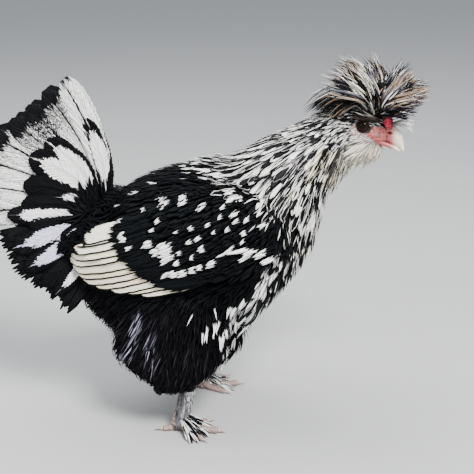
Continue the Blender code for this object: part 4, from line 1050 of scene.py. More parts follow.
# Feathers under the tail: root, middle and tip in the picture, and half width.
UNDER_TAIL = (
    ((100, 214), (50, 222), (-4, 230), 10), ((100, 216), (54, 228), (4, 246), 10),
    ((101, 218), (58, 236), (10, 260), 10), ((101, 220), (62, 244), (20, 272), 10),
    ((102, 222), (68, 252), (32, 282), 10), ((103, 224), (76, 258), (46, 290), 10),
    ((104, 226), (84, 264), (58, 300), 10), ((104, 228), (92, 270), (72, 308), 10),
    ((99, 210), (66, 200), (34, 196), 11), ((99, 212), (66, 208), (30, 214), 11),
)

# Outlines of single feathers: share of the length, share of the half width.
HACKLE = ((0, 0.4), (0.25, 0.85), (0.5, 1.0), (0.75, 0.8), (0.92, 0.4), (1, 0.06))
NECK = ((0, 0.4), (0.25, 0.8), (0.5, 1.0), (0.78, 1.0), (0.92, 0.75), (1, 0.15))
BODY = ((0, 0.35), (0.25, 0.85), (0.5, 1.0), (0.75, 0.85), (0.9, 0.5), (1, 0.06))
DOWN = ((0, 0.5), (0.3, 1.0), (0.6, 0.75), (0.85, 0.35), (1, 0.03))
FLIGHT = ((0, 0.5), (0.3, 0.9), (0.6, 1.0), (0.85, 0.95), (0.95, 0.7), (1, 0.25))
TAIL_VANE = ((0, 0.25), (0.2, 0.5), (0.45, 0.85), (0.7, 1.0), (0.86, 0.93), (0.95, 0.66), (1, 0.2))
CREST_VANE = ((0, 0.5), (0.3, 0.9), (0.6, 1.0), (0.8, 0.7), (0.93, 0.35), (1, 0.05))


MARK = ((0, 0.5), (0.5, 0.9), (0.78, 1.0), (0.92, 0.66), (1, 0.1))


def seen_at(points):
    """Where places show in the picture, with both sides of the hen taken as the near one."""
    near = points.copy()
    near[:, 1] = -np.abs(points[:, 1])
    eye, ahead = sight(PICTURE_MIDDLE, PICTURE_MIDDLE)
    away = near - eye
    depth = away @ unit(ahead)
    high = away @ np.array((0.0, math.sin(CAMERA_TILT), math.cos(CAMERA_TILT)))
    return PICTURE_MIDDLE + np.stack([away[:, 0], -high], axis=1) / depth[:, None] * PICTURE_FOCUS


def from_line(places, line):
    """How far places in the picture are from a line through points in it."""
    best = np.full(len(places), 1e6)
    line = np.array(line, float)
    for start, end in zip(line, line[1:]):
        along = end - start
        share = np.clip((places - start) @ along / (along @ along), 0, 1)
        best = np.minimum(best, np.linalg.norm(places - start - share[:, None] * along, axis=1))
    return best


def turned(ways, normals, angles):
    """Directions turned by these angles round the skin's normals."""
    side = np.cross(normals, ways)
    return ways * np.cos(angles)[:, None] + side * np.sin(angles)[:, None]


def body_roots(ground, wanted, spacing, draw, stretch=1.0):
    """Roots, normals and lie of the feathers on part of the skin."""
    kept = ground.spread(spacing, wanted, draw, stretch)
    roots, normals = ground.middles[kept], ground.ways[kept]
    ways = flow(roots)
    ways = unit(ways - normals * np.sum(ways * normals, axis=1, keepdims=True) * 0.9)
    ways = turned(ways, normals, draw.normal(0, 0.10, len(kept)))
    return kept, roots, normals, ways


def evenly(roots, ways, gap, stretch, draw):
    """Marks some of the feathers, none of them nearer to another than the gap at each."""
    chosen = np.zeros(len(roots), bool)
    free = np.ones(len(roots), bool)
    for k in draw.permutation(len(roots)):
        if not free[k]:
            continue
        chosen[k] = True
        gaps = roots - roots[k]
        along = gaps @ ways[k]
        across = np.sum(gaps**2, axis=1) - along**2
        free &= (along / stretch) ** 2 + across * stretch**2 > gap[k] ** 2
    return chosen


def add_marks(coat, cover, rows, high):
    """White-tipped feathers at places in the picture, and the same on the other side."""
    rows = np.array(rows, float)
    spots = cover.seen(rows)
    for out in (-1, 1):
        which, along, beside, reach, half = mark_feathers(rows, coat.draw)
        middles = spots[which] * np.array((1.0, -out, 1.0))
        _, normals, _ = cover.nearest(middles)
        ways = flow(middles)
        ways = unit(ways - normals * np.sum(ways * normals, axis=1, keepdims=True))
        ways = turned(ways, normals, coat.draw.normal(0, 0.16, len(which)))
        middles = middles + ways * along[:, None] + np.cross(normals, ways) * beside[:, None]
        lengths = 18.0 + reach * 0.5
        tips = middles + ways * (reach * 0.5)[:, None]
        count = len(which)
        height = high + coat.draw.uniform(-0.4, 0.4, count) + 6.0 * thigh_share(middles)
        mids, laid = lay(cover, tips, -ways, lengths, 9, height, height - 4.0)
        coat.add(mids[:, ::-1], laid[:, ::-1], half * 1.15, 0.14, BODY,
                 {"ground": BLACK, "ink": WHITE, "tip": reach / lengths}, 3, cup=0.03, ragged=0.22)


def mark_feathers(rows, draw):
    """Each white mark as overlapping narrow tips: row numbers, shifts along and across, and sizes."""
    parts = []
    for k, row in enumerate(rows):
        number = max(1 if row[3] < 1.5 else 3, int(round(row[3] * 1.5)))
        for part in range(number):
            beside = ((part + 0.5) / number * 2 - 1) * row[3] * 0.8
            parts.append((k, draw.uniform(-0.25, 0.25) * row[2], beside, row[2] * draw.uniform(0.7, 1.15),
                          row[3] * draw.uniform(0.9, 1.4) / number + (0.45 if number > 1 else -0.15)))
    parts = np.array(parts)
    return parts[:, 0].astype(int), *parts[:, 1:].T


def make_hackle(ground, cover, finish):
    """White neck feathers, each with a long black stripe, down over the shoulders and wings."""
    coat = Coat(ground, 21)
    draw = coat.draw
    spots = cover.middles
    cape = cape_share(spots)
    wanted = (cape + draw.normal(0, 5.0, len(spots)) > 0) & (head_share(spots) < 4.0)
    grow = ease(cape, 108.0, 30.0)
    spacing = 2.9 + 2.9 * grow
    kept, roots, normals, ways = body_roots(cover, wanted, spacing, draw, 1.5)
    grow, low = grow[kept], ease(cape[kept], 46.0, 4.0)
    count = len(kept)
    lengths = (12.0 + 18.0 * grow) * draw.uniform(0.75, 1.15, count)
    half = (1.35 + 1.45 * grow) * draw.uniform(0.70, 1.30, count)
    high = coat_depth(roots) * draw.uniform(0.94, 1.06, count) + 0.4 + 1.3 * low
    mids, laid = lay(cover, roots, ways, lengths, 8, np.full(count, -1.2), high, 0.9)
    throat = ease(roots[:, 0] - (roots[:, 2] - 240) * 0.9, 84.0, 104.0)
    dark = evenly(roots, ways, spacing[kept] * 1.06, 1.2, draw)
    stripe = np.where(draw.uniform(0, 1, count) < 0.4, draw.uniform(0.10, 0.35, count), 0.0)
    stripe = np.where(dark, draw.uniform(0.70, 0.95, count), stripe)
    plain = dark & (draw.uniform(0, 1, count) < 0.5)
    plain |= draw.uniform(0, 1, count) < 0.30 * ease(cape[kept], 30.0, 0.0)
    half = np.where(dark, half * 0.9, half)
    tint = draw.uniform(0, 1, count)
    colour = blend_to(WHITE, CREAM, np.clip(0.55 * throat + 0.3 * tint * ease(roots[:, 2], 300, 230), 0, 1))
    colour *= draw.uniform(0.84, 1.06, count)[:, None]
    near_head = ease(cape[kept], 84.0, 112.0) * ease(tint, 0.2, 0.7)
    colour = blend_to(colour, (0.20, 0.20, 0.22), 0.75 * near_head)
    colour = np.where(plain[:, None], BLACK, colour)
    coat.add(mids, laid, half, 0.16, NECK, {"ground": colour, "stripe": stripe}, 5,
             cup=0.08, roll=draw.normal(0, 0.06, count), ragged=0.2)
    loose = wanted & (cape < 100.0)
    kept, roots, normals, ways = body_roots(cover, loose, spacing * 0.85, draw, 1.3)
    count = len(kept)
    grow = ease(cape[kept], 108.0, 30.0)
    lengths = (12.0 + 16.0 * grow) * draw.uniform(0.7, 1.15, count)
    high = coat_depth(roots) * draw.uniform(1.0, 1.08, count) + 0.8 + 1.3 * ease(cape[kept], 46.0, 4.0)
    mids, laid = lay(cover, roots, ways, lengths, 6, np.full(count, -1.0), high, 0.9)
    colour = blend_to(WHITE, CREAM, draw.uniform(0, 0.4, count)) * draw.uniform(0.8, 1.05, count)[:, None]
    colour = np.where((draw.uniform(0, 1, count) < 0.36)[:, None], BLACK, colour)
    coat.add(mids, laid, draw.uniform(0.35, 0.75, count), 0.12, NECK, {"ground": colour},
             roll=draw.normal(0, 0.2, count), ragged=0.2)
    return coat.piece("hackle_feathers", finish, "hackle_feather")


def breast_white(places, roots):
    """How white the breast is at each place, and how dashed the white is with black."""
    seen = seen_at(places)
    pale, dashed = np.zeros(len(places)), np.ones(len(places))
    for wide, dash, line in BREAST_WHITE:
        share = ease(from_line(seen, line), wide + 2.0, wide - 2.0)
        dashed = np.where(share >= pale, dash, dashed)
        pale = np.maximum(pale, share)
    return pale * ease(roots[:, 0], -50.0, -20.0), dashed


def make_body(ground, cover, finish):
    """Black feathers of the back, saddle, shoulders and flanks, the breast's with white."""
    spots = cover.middles
    cape = cape_share(spots)
    for name, out, seed in (("right", -1, 22), ("left", 1, 32)):
        coat = Coat(ground, seed)
        draw = coat.draw
        plain = (thigh_share(spots) < 0.6) & (rear_share(spots) < 0.6) & (head_share(spots) < 0)
        wanted = (cape + draw.normal(0, 5.0, len(spots)) <= 0) & plain & (wing_reach(spots) > 0.94)
        wanted &= spots[:, 1] * out > 0
        near_white, _ = breast_white(spots + flow(spots) * 15.0, spots)
        kept, roots, normals, ways = body_roots(cover, wanted, 2.7 + 1.3 * near_white, draw, 1.3)
        front = ease(roots[:, 0], 10.0, 40.0)
        count = len(kept)
        lengths = (25.0 - 5.0 * front) * draw.uniform(0.7, 1.2, count)
        half = draw.uniform(1.3, 2.2, count) + 1.0 * near_white[kept]
        high = coat_depth(roots) * draw.uniform(0.92, 1.06, count) + 0.3
        mids, laid = lay(cover, roots, ways, lengths, 8, np.full(count, -1.0), high, 0.7)
        pale, dashed = breast_white(mids[:, -2], roots)
        chance = draw.uniform(0, 1, count)
        dark = evenly(roots, ways, (2.7 + 1.3 * near_white[kept]) * 1.08, 1.3, draw)
        dashed = draw.uniform(0, 1, count) < dashed
        spangled = (chance < 0.96 * pale + 0.05 * front) & ~(dark & dashed)
        colour = np.where(spangled[:, None], WHITE, BLACK) * draw.uniform(0.8, 1.05, count)[:, None]
        tip = np.where(spangled & dashed & (chance < 0.3), draw.uniform(0.10, 0.35, count), 0.0)
        stripe = np.where(spangled & dashed & (tip == 0) & (chance > 0.6), draw.uniform(0.2, 0.5, count), 0.0)
        coat.add(mids, laid, half, 0.12, BODY, {"ground": colour, "tip": tip, "stripe": stripe}, 3,
                 cup=0.02, roll=draw.normal(0, 0.05, count), ragged=0.2)
        if out == -1:
            add_marks(coat, cover, BODY_MARKS, 10.0)
        coat.piece("body_feathers_" + name, finish, "black_feather")


def make_fluff(ground, finish):
    """Soft black fluff on the thighs and under the tail, in long thin tufts."""
    spots = ground.middles
    thigh, rear = thigh_share(spots), rear_share(spots)
    for name, out, seed in (("right", -1, 23), ("left", 1, 24)):
        coat = Coat(ground, seed)
        draw = coat.draw
        wanted = (np.maximum(thigh, rear) >= 0.25) & (spots[:, 1] * out > -1.0)
        kept = ground.spread(np.full(len(spots), 2.5), wanted, draw)
        roots, normals = ground.middles[kept], ground.ways[kept]
        ways = turned(flow(roots), normals, draw.normal(0, 0.16, len(kept)))
        count = len(kept)
        lengths = (20.0 + 5.0 * rear[kept]) * draw.uniform(0.6, 1.2, count)
        lengths = np.minimum(lengths, np.maximum(roots[:, 2] - 20.0, 8.0))
        half = draw.uniform(0.6, 1.3, count)
        high = coat_depth(roots) * draw.uniform(0.6, 1.25, count)
        mids, laid = lay(ground, roots, ways, lengths, 5, np.full(count, -0.4), high, 0.8)
        chance = draw.uniform(0, 1, count)
        colour = blend_to(DOWN_BLACK, (0.018, 0.017, 0.022), ease(chance, 0.7, 1.0))
        places = seen_at(mids[:, 3])
        streak = np.maximum(
            ease(from_line(places, ((134.0, 322.0), (130.0, 345.0), (125.0, 362.0))), 8.0, 1.0),
            0.7 * ease(from_line(places, ((148.0, 342.0), (150.0, 374.0))), 7.0, 0.0))
        streak = streak * (np.abs(roots[:, 1]) > 40.0) * (chance < 0.5) * draw.uniform(0.3, 1.0, count)
        colour = blend_to(colour, LAVENDER, streak)
        coat.add(mids, laid, half * (1 - 0.4 * streak), 0.2, DOWN, {"ground": colour, "ink": LAVENDER},
                 roll=draw.normal(0, 0.5, count), ragged=0.2)
        coat.piece("fluff_" + name, finish, "black_feather")


def crest_strands(draw):
    """Lean, layer, length, arch, tone, lock and stray of each strand of the crest."""
    locks = CREST_LOCKS
    lean = np.linspace(-103.0, 57.0, locks) + draw.normal(0, 2.0, locks)
    layer = np.sign(draw.uniform(-1, 1, locks)) * draw.uniform(0.0, 1, locks) ** 0.75
    share = draw.uniform(0.0, 1.0, locks) ** 0.5 * 0.42 + 0.54
    arch = draw.uniform(0.14, 0.28, locks) + 0.14 * ease(lean, -35.0, -95.0)
    white, tan, grey = smooth_rows(CREST_TONES, lean).T * np.array(((0.78,), (1.0,), (1.1,)))
    kind = draw.uniform(0, 1, locks)
    sort = np.select([kind < white, kind < white + tan, kind < white + tan + grey], [0, 1, 2], 3)
    bend = draw.normal(0, 2.4, (locks, 3))
    count = locks * CREST_STRANDS
    lock = np.repeat(np.arange(locks), CREST_STRANDS)
    lean = lean[lock] + draw.normal(0, 2.8, count)
    layer = np.clip(layer[lock] + draw.normal(0, 0.07, count), -1, 1)
    share = share[lock] * draw.uniform(0.80, 1.03, count)
    arch = arch[lock] + draw.normal(0, 0.02, count)
    return lean, layer, share, arch, sort[lock], lock, bend[lock]


def crest_lines(draw, lean, layer, share, arch, lock, bend):
    """Middle lines and normals of the crest's strands, in the head's frame."""
    count, rows = len(lean), 7
    turn = np.radians(lean)
    back = ease(lean, 6.0, -30.0)
    start = np.stack([21.5 - 7.0 * back * draw.uniform(0.2, 1.6, count) + draw.normal(0, 1.4, count),
                      13.0 - 2.0 * back + draw.normal(0, 1.2, count)], axis=1)
    reach = smooth_rows(CREST_EDGE, lean)[:, 0] * share
    end = np.array(CREST_PLACE) + np.stack([np.sin(turn), np.cos(turn)], axis=1) * reach[:, None]
    t = np.linspace(0, 1, rows)[None]
    chord = end - start
    flat = start[:, None] + chord[:, None] * t[..., None]
    over = np.stack([-chord[:, 1], chord[:, 0]], axis=1) * np.where(chord[:, 0] > 0, 1.0, -1.0)[:, None]
    bulge = (arch * (0.35 + 0.65 * np.abs(np.sin(turn))))[:, None] * np.sin(math.pi * t ** 0.85)
    flat = flat + over[:, None] * bulge[..., None]
    inside = 1 - ((flat[..., 0] - DOME_MIDDLE[0]) / 66.0) ** 2 - ((flat[..., 1] - DOME_MIDDLE[2]) / 58.0) ** 2
    wide = (DOME_SIDE - 7.0) * np.sqrt(np.clip(inside, 0.05, 1.0))
    grow = np.sin(np.minimum(t * share[:, None] / 0.62, 1.0) * math.pi / 2)
    side = layer[:, None] * (8.0 + (wide - 8.0) * grow)
    mids = np.stack([flat[..., 0], side, flat[..., 1]], axis=-1)
    wave = bend[:, None] * (np.sin(t * 5.0 + lock[:, None]) * t)[..., None]
    stray = draw.normal(0, 1.1, (count, 1, 3))
    stray = stray * (np.sin(t * 4.0 + draw.uniform(0, 6, (count, 1))) * t)[..., None]
    mids = mids + wave + stray
    normals = (mids - np.array(DOME_MIDDLE)) / np.array((DOME_AHEAD, DOME_SIDE * 0.6, DOME_UP)) ** 2
    ahead = unit(np.gradient(mids, axis=1))
    return mids, unit(normals - ahead * np.sum(normals * ahead, axis=-1, keepdims=True))


def crest_colours(draw, sort):
    """Tone and black stripe of each strand, most of a lock alike: white, tan, grey or black."""
    count = len(sort)
    own = draw.uniform(0, 1, count)
    sort = np.where(own < 0.38, draw.choice([0, 1, 2, 3, 3], count), sort)
    tones = np.array((WHITE, (0.30, 0.20, 0.14), (0.13, 0.13, 0.155), BLACK))
    colour = tones[sort] * draw.uniform(0.5, 1.05, count)[:, None]
    colour = blend_to(colour, CREAM, np.where(sort == 0, draw.uniform(0, 0.7, count), 0.0))
    colour = blend_to(colour, (0.55, 0.41, 0.30), np.where(sort == 1, draw.uniform(0, 0.6, count), 0.0))
    stripe = np.where((sort < 2) & (own > 0.45), draw.uniform(0.2, 0.8, count), 0)
    return np.minimum(colour, 0.92), stripe


def add_bill_tuft(coat):
    """The small pale tuft ahead of the crest, over the bill's root."""
    draw, count = coat.draw, 46
    root = np.stack([draw.uniform(31.0, 35.0, count), draw.uniform(-5, 5, count),
                     draw.uniform(7.5, 9.5, count)], axis=1)
    way = np.stack([np.full(count, 1.0), root[:, 1] * 0.07, draw.uniform(0.0, 0.62, count)], axis=1)
    lengths = draw.uniform(11.0, 22.0, count)
    up = np.tile((0.0, 0.0, 1.0), (count, 1))
    mids, laid = stand_out(root, unit(way), up, lengths, 6, np.zeros(count), 0.12, 0.10)
    colour = blend_to(WHITE, BLACK, (draw.uniform(0, 1, count) < 0.2) * 0.9)
    coat.add(from_head(mids), turn_from_head(laid), draw.uniform(0.5, 1.0, count), 0.18, CREST_VANE,
             {"ground": colour}, roll=draw.normal(0, 0.4, count))


def add_brows(coat):
    """Dark strands from the comb's sides back over the tops of the eyes."""
    draw, count = coat.draw, 120
    out = draw.choice((-1.0, 1.0), count)
    root = np.stack([draw.uniform(16.0, 26.0, count), out * draw.uniform(9.0, 12.0, count),
                     draw.uniform(9.0, 12.0, count)], axis=1)
    way = np.stack([np.full(count, -1.0), out * draw.uniform(0.25, 0.55, count),
                    draw.uniform(-0.18, 0.30, count)], axis=1)
    lifted = np.stack([0 * out, out, 0 * out + 0.5], axis=1)
    mids, laid = stand_out(root, unit(way), unit(lifted), draw.uniform(12.0, 24.0, count), 6, np.zeros(count),
                           -0.10, 0.08)
    tint = draw.uniform(0, 1, count)
    colour = blend_to(blend_to(BLACK, (0.10, 0.075, 0.06), tint), WHITE, (tint > 0.86) * 0.7)
    coat.add(from_head(mids), turn_from_head(laid), draw.uniform(0.4, 0.9, count), 0.16, CREST_VANE,
             {"ground": colour}, roll=draw.normal(0, 0.4, count))


def make_crest(ground, finish):
    """The crest: locks of long slender feathers that sweep from the forehead up, back and forward."""
    coat = Coat(ground, 25)
    draw = coat.draw
    lean, layer, share, arch, sort, lock, bend = crest_strands(draw)
    mids, normals = crest_lines(draw, lean, layer, share, arch, lock, bend)
    half = draw.uniform(0.45, 1.1, len(lean))
    colour, stripe = crest_colours(draw, sort)
    coat.add(from_head(mids), turn_from_head(normals), half, 0.2, CREST_VANE,
             {"ground": colour, "stripe": stripe}, roll=draw.normal(0, 0.35, len(lean)), ragged=0.15)
    add_bill_tuft(coat)
    add_brows(coat)
    return coat.piece("crest_feathers", finish, "crest_feather", "crest")


def make_face(ground, finish):
    """Small feathers of the head's sides and throat, round the bare face."""
    coat = Coat(ground, 26)
    draw = coat.draw
    spots = ground.middles
    head = to_head(spots)
    bare = bare_face(spots)
    sparse = (bare > 0.3) & (head[:, 0] > 12.5) & (head[:, 2] > -3.0) & (draw.uniform(0, 1, len(spots)) < 0.3)
    wanted = (head_share(spots) > -2.0) & ((bare < 0.4) | sparse) & (head[:, 0] < 27.0)
    kept, roots, normals, ways = body_roots(ground, wanted, np.full(len(spots), 1.25), draw)
    count = len(kept)
    head = to_head(roots)
    fuzz = bare[kept] > 0.3
    lengths = (5.0 + 7.0 * ease(head[:, 0], 6.0, -22.0)) * draw.uniform(0.8, 1.2, count)
    lengths = np.where(fuzz, draw.uniform(2.0, 3.6, count), lengths)
    half = (0.45 + 0.4 * ease(head[:, 0], 8.0, -10.0)) * draw.uniform(0.7, 1.2, count)
    half = np.where(fuzz, 0.2, half)
    high = coat_depth(roots) * draw.uniform(0.8, 1.3, count) + 0.2
    mids, laid = lay(ground, roots, ways, lengths, 5, np.full(count, -0.3), high)
    eye = np.hypot(head[:, 0] - EYE_PLACE[0] - 1.0, head[:, 2] - EYE_PLACE[2] - 2.0)
    dark = np.maximum(ease(head[:, 2], 2.0, 6.0) * ease(head[:, 0], 30.0, 26.0), ease(eye, 12.0, 7.5) * 0.8)
    behind = ease(head[:, 0], 8.0, -2.0)
    chance = draw.uniform(0, 1, count)
    colour = blend_to(WHITE, CREAM, draw.uniform(0, 0.5, count))
    colour = blend_to(colour, (0.18, 0.18, 0.195), ease(chance, 0.15, 0.55) * (0.35 + 0.6 * behind) * ~fuzz)
    colour = blend_to(colour, BLACK, (chance > 0.72) * (0.3 + 0.7 * behind) * ~fuzz)
    colour = blend_to(colour, BLACK, dark * ease(chance, 0.05, 0.5) * ~fuzz)
    coat.add(mids, laid, half, 0.14, HACKLE,
             {"ground": colour, "stripe": np.where((chance > 0.5) & ~fuzz, 0.55 * behind, 0.0)},
             roll=draw.normal(0, 0.2, count), ragged=0.1)
    return coat.piece("face_feathers", finish, "hackle_feather")


def chin_tufts(draw):
    """The beard: roots, lie, outward way, lengths, half widths, darkness and chance of its tufts."""
    count = 1000
    ways = unit(draw.normal(0, 1, (count, 3)))
    ways[:, 2] = np.where(ways[:, 2] > 0.45, -ways[:, 2], ways[:, 2])
    roots = CHIN_MIDDLE + ways * CHIN_SIZE
    front = ease(ways[:, 0], 0.15, 0.85)
    sweep = blend_to((-1.0, 0.0, -0.55), (-0.25, 0.0, -1.0), front)
    sweep = unit(sweep + ways * np.array((0.15, 0.65, 0.30)) + draw.normal(0, 0.08, (count, 3)))
    lengths = draw.uniform(13.0, 24.0, count) * (1 - 0.45 * front)
    lifted = unit(ways * np.array((0.3, 1.0, 0.7)))
    chance = draw.uniform(0, 1, count)
    return roots, sweep, lifted, lengths, draw.uniform(0.6, 1.4, count), ease(roots[:, 0], 17.0, 3.0), chance


def muff_tufts(draw):
    """The muffs, in the same way: longer tufts that sweep back from both cheeks."""
    count = 620
    out = np.where(draw.uniform(-1, 1, count) > 0, 1.0, -1.0)
    roots = np.stack([draw.uniform(-14.0, 15.0, count), out * draw.uniform(8.5, 12.0, count),
                      draw.uniform(-18.0, -7.0, count)], axis=1)
    roots[:, 1] *= 1.0 - 0.02 * np.maximum(roots[:, 0], 0.0)
    sweep = np.stack([-0.85 + 0 * out, 0.20 * out, draw.uniform(-0.75, -0.25, count)], axis=1)
    lifted = np.stack([0 * out, out, 0 * out], axis=1)
    return (roots, unit(sweep + draw.normal(0, 0.07, (count, 3))), lifted, draw.uniform(17.0, 30.0, count),
            draw.uniform(0.6, 1.4, count), ease(roots[:, 0], 15.0, 0.0), draw.uniform(0, 1, count))


def throat_tufts(draw, ground):
    """The throat's loose feathers, in the same way."""
    head, faces = to_head(ground.middles), ground.ways @ HEAD[:3, :3]
    below = (head[:, 0] > -34.0) & (head[:, 0] < 26.0) & (head[:, 2] < -17.0) & (head[:, 2] > -66.0)
    below &= faces @ np.array((0.6, 0.0, -0.8)) > -0.05
    kept = ground.spread(np.full(len(head), 2.5), below, draw)
    count = len(kept)
    sweep = np.stack([np.full(count, -0.55), 0 * kept, np.full(count, -0.84)], axis=1)
    sweep = unit(sweep + draw.normal(0, 0.08, (count, 3)))
    roots = head[kept]
    stand = 0.30 + 0.25 * ease(roots[:, 2], -60.0, -35.0)
    sweep = unit(sweep + faces[kept] * stand[:, None])
    return (roots, sweep, faces[kept], draw.uniform(15.0, 25.0, count), draw.uniform(0.8, 1.7, count),
            ease(roots[:, 0], 10.0, -14.0), draw.uniform(0, 1, count))


def make_beard(ground, finish):
    """Muffs that sweep back from the cheeks, a beard under the bill and the throat's loose feathers."""
    coat = Coat(ground, 27)
    draw = coat.draw
    groups = [chin_tufts(draw), muff_tufts(draw), throat_tufts(draw, ground)]
    for roots, sweep, lifted, lengths, half, back, chance in groups:
        count = len(roots)
        mids, laid = stand_out(roots, sweep, lifted, lengths, 6, np.full(count, 0.10), 0.14, 0.08)
        colour = blend_to(WHITE, (0.80, 0.70, 0.52), 0.3 + 0.7 * draw.uniform(0, 1, count))
        colour = blend_to(colour, (0.13, 0.125, 0.12), ease(chance, 0.35, 0.75) * (0.22 + 0.65 * back))
        colour = blend_to(colour, BLACK, (chance > 0.74) * (0.15 + 0.85 * back))
        stripe = np.where(chance > 0.35, 0.15 + 0.6 * back, 0.0)
        coat.add(from_head(mids), turn_from_head(laid), half, 0.18, HACKLE,
                 {"ground": colour, "stripe": stripe}, roll=draw.normal(0, 0.4, count), ragged=0.15)
    return coat.piece("beard_feathers", finish, "beard_feather", "beard")


# Wings and tail


def trunk_half_width(x, z):
    """How far the trunk's side is from the middle plane at these places."""
    top, bottom, half = np.moveaxis(smooth_rows(TRUNK_ROWS, x), -1, 0)
    s = (2 * x - TRUNK_REAR - TRUNK_FRONT) / (TRUNK_FRONT - TRUNK_REAR)
    close = np.sqrt(np.maximum(0.02, 1.0 - np.abs(s) ** 4))
    high = np.abs(z - (top + bottom) / 2) / ((top - bottom) / 2 * close)
    return half * close * np.maximum(0.0, 1.0 - high**TRUNK_SQUARE) ** (1 / TRUNK_SQUARE)


def wing_sheet(out):
    """The outer side of one folded wing over places of the side view."""

    def place(x, z, lift):
        y = trunk_half_width(x, np.maximum(z, WING_HANG)) + WING_OUT + lift
        return np.stack([x, out * y, z], axis=-1)

    return place


def tail_sheet(out):
    """One side of the tented tail over places of the side view."""

    def place(x, z, lift):
        dx, dz = x - TAIL_ROOT[0], z - TAIL_ROOT[1]
        reach, angle = np.hypot(dx, dz), np.degrees(np.arctan2(dz, dx)) % 360
        low = np.clip((angle - TAIL_TOP_ANGLE + 12) / (TAIL_LOW_ANGLE - TAIL_TOP_ANGLE + 12), 0, 1.25)
        y = 2.4 + reach * (TENT_NARROW + (TENT_WIDE - TENT_NARROW) * low**1.2) + lift
        return np.stack([x, out * y, z], axis=-1)

    return place


def sheet_lines(sheet, roots, tips, bow, lifts, rows):
    """Middle lines and normals of feathers on a sheet, from roots and tips in the side view."""
    share = np.linspace(0, 1, rows)[None]
    along = tips - roots
    length = np.linalg.norm(along, axis=1, keepdims=True)
    along = along / length
    side = np.stack([-along[:, 1], along[:, 0]], axis=1)
    bend = np.sin(math.pi * share) * bow[:, None]
    x = roots[:, :1] + along[:, :1] * length * share + side[:, :1] * bend
    z = roots[:, 1:] + along[:, 1:] * length * share + side[:, 1:] * bend
    lift = lifts[:, None] * np.ones_like(share)
    mids = sheet(x, z, lift)
    ahead = unit(np.gradient(mids, axis=1))
    above = sheet(x + side[:, :1], z + side[:, 1:], lift) - mids
    normals = unit(np.cross(ahead, above))
    outward = np.sign(np.sum(normals[..., 1] * mids[..., 1]))
    return mids, normals * outward


def make_wing_bay(ground, side, finish):
    """The cream flights of a folded wing, each with a thin painted shadow line along one edge."""
    out = SIDES[side]
    coat = Coat(ground, 31 + out)
    draw = coat.draw
    count = WING_FLIGHTS
    rows = smooth_rows(FLIGHT_ROWS, np.linspace(0.10, 1, count))
    rows += draw.normal(0, 1.1, rows.shape)
    lifts = np.linspace(2.2, -0.4, count)
    mids, normals = sheet_lines(wing_sheet(out), rows[:, :2], rows[:, 2:], np.full(count, -1.0), lifts, 16)
    tips = np.array([0.10, 0.16, 0.08] + [0.0] * (count - 3))
    tone = blend_to(BAY_CREAM, WHITE, draw.uniform(0, 0.6, count)) * draw.uniform(0.9, 1.03, count)[:, None]
    # Stripe here only picks the edge that gets the painted shadow line between flights.
    coat.add(mids, normals, np.full(count, 8.6), 0.3, FLIGHT,
             {"ground": tone, "tip": tips, "stripe": -out}, 9, cup=0.0,
             roll=np.full(count, -0.09 * out), ragged=0.03)
    return coat.piece("wing_bay_" + side, finish, "hackle_feather")


def add_wing_band(coat, sheet):
    """The black band of feathers over the roots of the flights."""
    draw, count = coat.draw, WING_BAND
    rows = smooth_rows(BAND_ROWS, np.linspace(0, 1, count))
    rows += draw.normal(0, 2.2, rows.shape)
    lifts = np.linspace(4.4, 3.2, count) + draw.uniform(-0.5, 0.5, count)
    mids, normals = sheet_lines(sheet, rows[:, :2], rows[:, 2:], np.full(count, 1.0), lifts, 8)
    coat.add(mids, normals, draw.uniform(1.4, 2.4, count), 0.14, BODY, DARK,
             cup=0.02, ragged=0.2)


def add_wing_bow(coat, cover, out):
    """Narrow black feathers over the rest of the wing, none of them down over the flights."""
    draw, spots = coat.draw, cover.middles
    wanted = (wing_reach(spots) < 1.0) & (spots[:, 1] * out > 0) & (cape_share(spots) <= 4.0)
    kept, roots, _, ways = body_roots(cover, wanted, np.full(len(spots), 2.7), draw, 1.3)
    lengths = draw.uniform(16.0, 27.0, len(kept))
    tips = roots + ways * lengths[:, None]
    inside = tips[:, 2] > 160.0 + 48.0 * np.maximum(0.0, (-50.0 - tips[:, 0]) / 60.0) ** 1.1
    roots, ways, lengths = roots[inside], ways[inside], lengths[inside]
    count = len(roots)
    high = 8.6 * draw.uniform(0.94, 1.04, count)
    mids, normals = lay(cover, roots, ways, lengths, 8, np.full(count, -1.0), high, 0.7)
    coat.add(mids, normals, draw.uniform(1.4, 2.3, count), 0.12, BODY, DARK,
             cup=0.02, roll=draw.normal(0, 0.05, count), ragged=0.2)


def add_wing_marks(coat, sheet):
    """White-tipped feathers on the wing where the picture shows them."""
    draw, near = coat.draw, wing_sheet(-1)
    rows = np.array(WING_MARKS)
    rows[:, 2:] *= draw.uniform(0.75, 1.25, (len(rows), 2))
    which, along, beside, reach, half = mark_feathers(rows, draw)
    middles = np.array([on_sheet(near, row[0], row[1], 5.0) for row in WING_MARKS])[which]
    count = len(which)
    slope = wing_slope(middles[:, 1]) + draw.normal(0, 0.12, count)
    way = np.stack([np.cos(slope), np.sin(slope)], axis=1)
    across = np.stack([-way[:, 1], way[:, 0]], axis=1)
    middles = middles + way * along[:, None] + across * beside[:, None]
    lengths = 18.0 + reach * 0.5
    tips = middles - way * (reach * 0.5)[:, None]
    edge = np.hypot(*((middles - np.array(WING_MIDDLE)) / np.array(WING_SIZE)).T)
    lifts = 5.4 - 0.8 * ease(edge, 0.85, 1.1) + draw.uniform(-0.3, 0.3, count)
    mids, normals = sheet_lines(sheet, tips + way * lengths[:, None], tips, np.zeros(count), lifts, 10)
    slide = np.linspace(-3.4, 0.2, 10)[None, :, None]
    coat.add(mids + normals * slide, normals, half, 0.14, MARK,
             {"ground": BLACK, "ink": WHITE, "tip": reach / lengths}, cup=0.03, ragged=0.22)


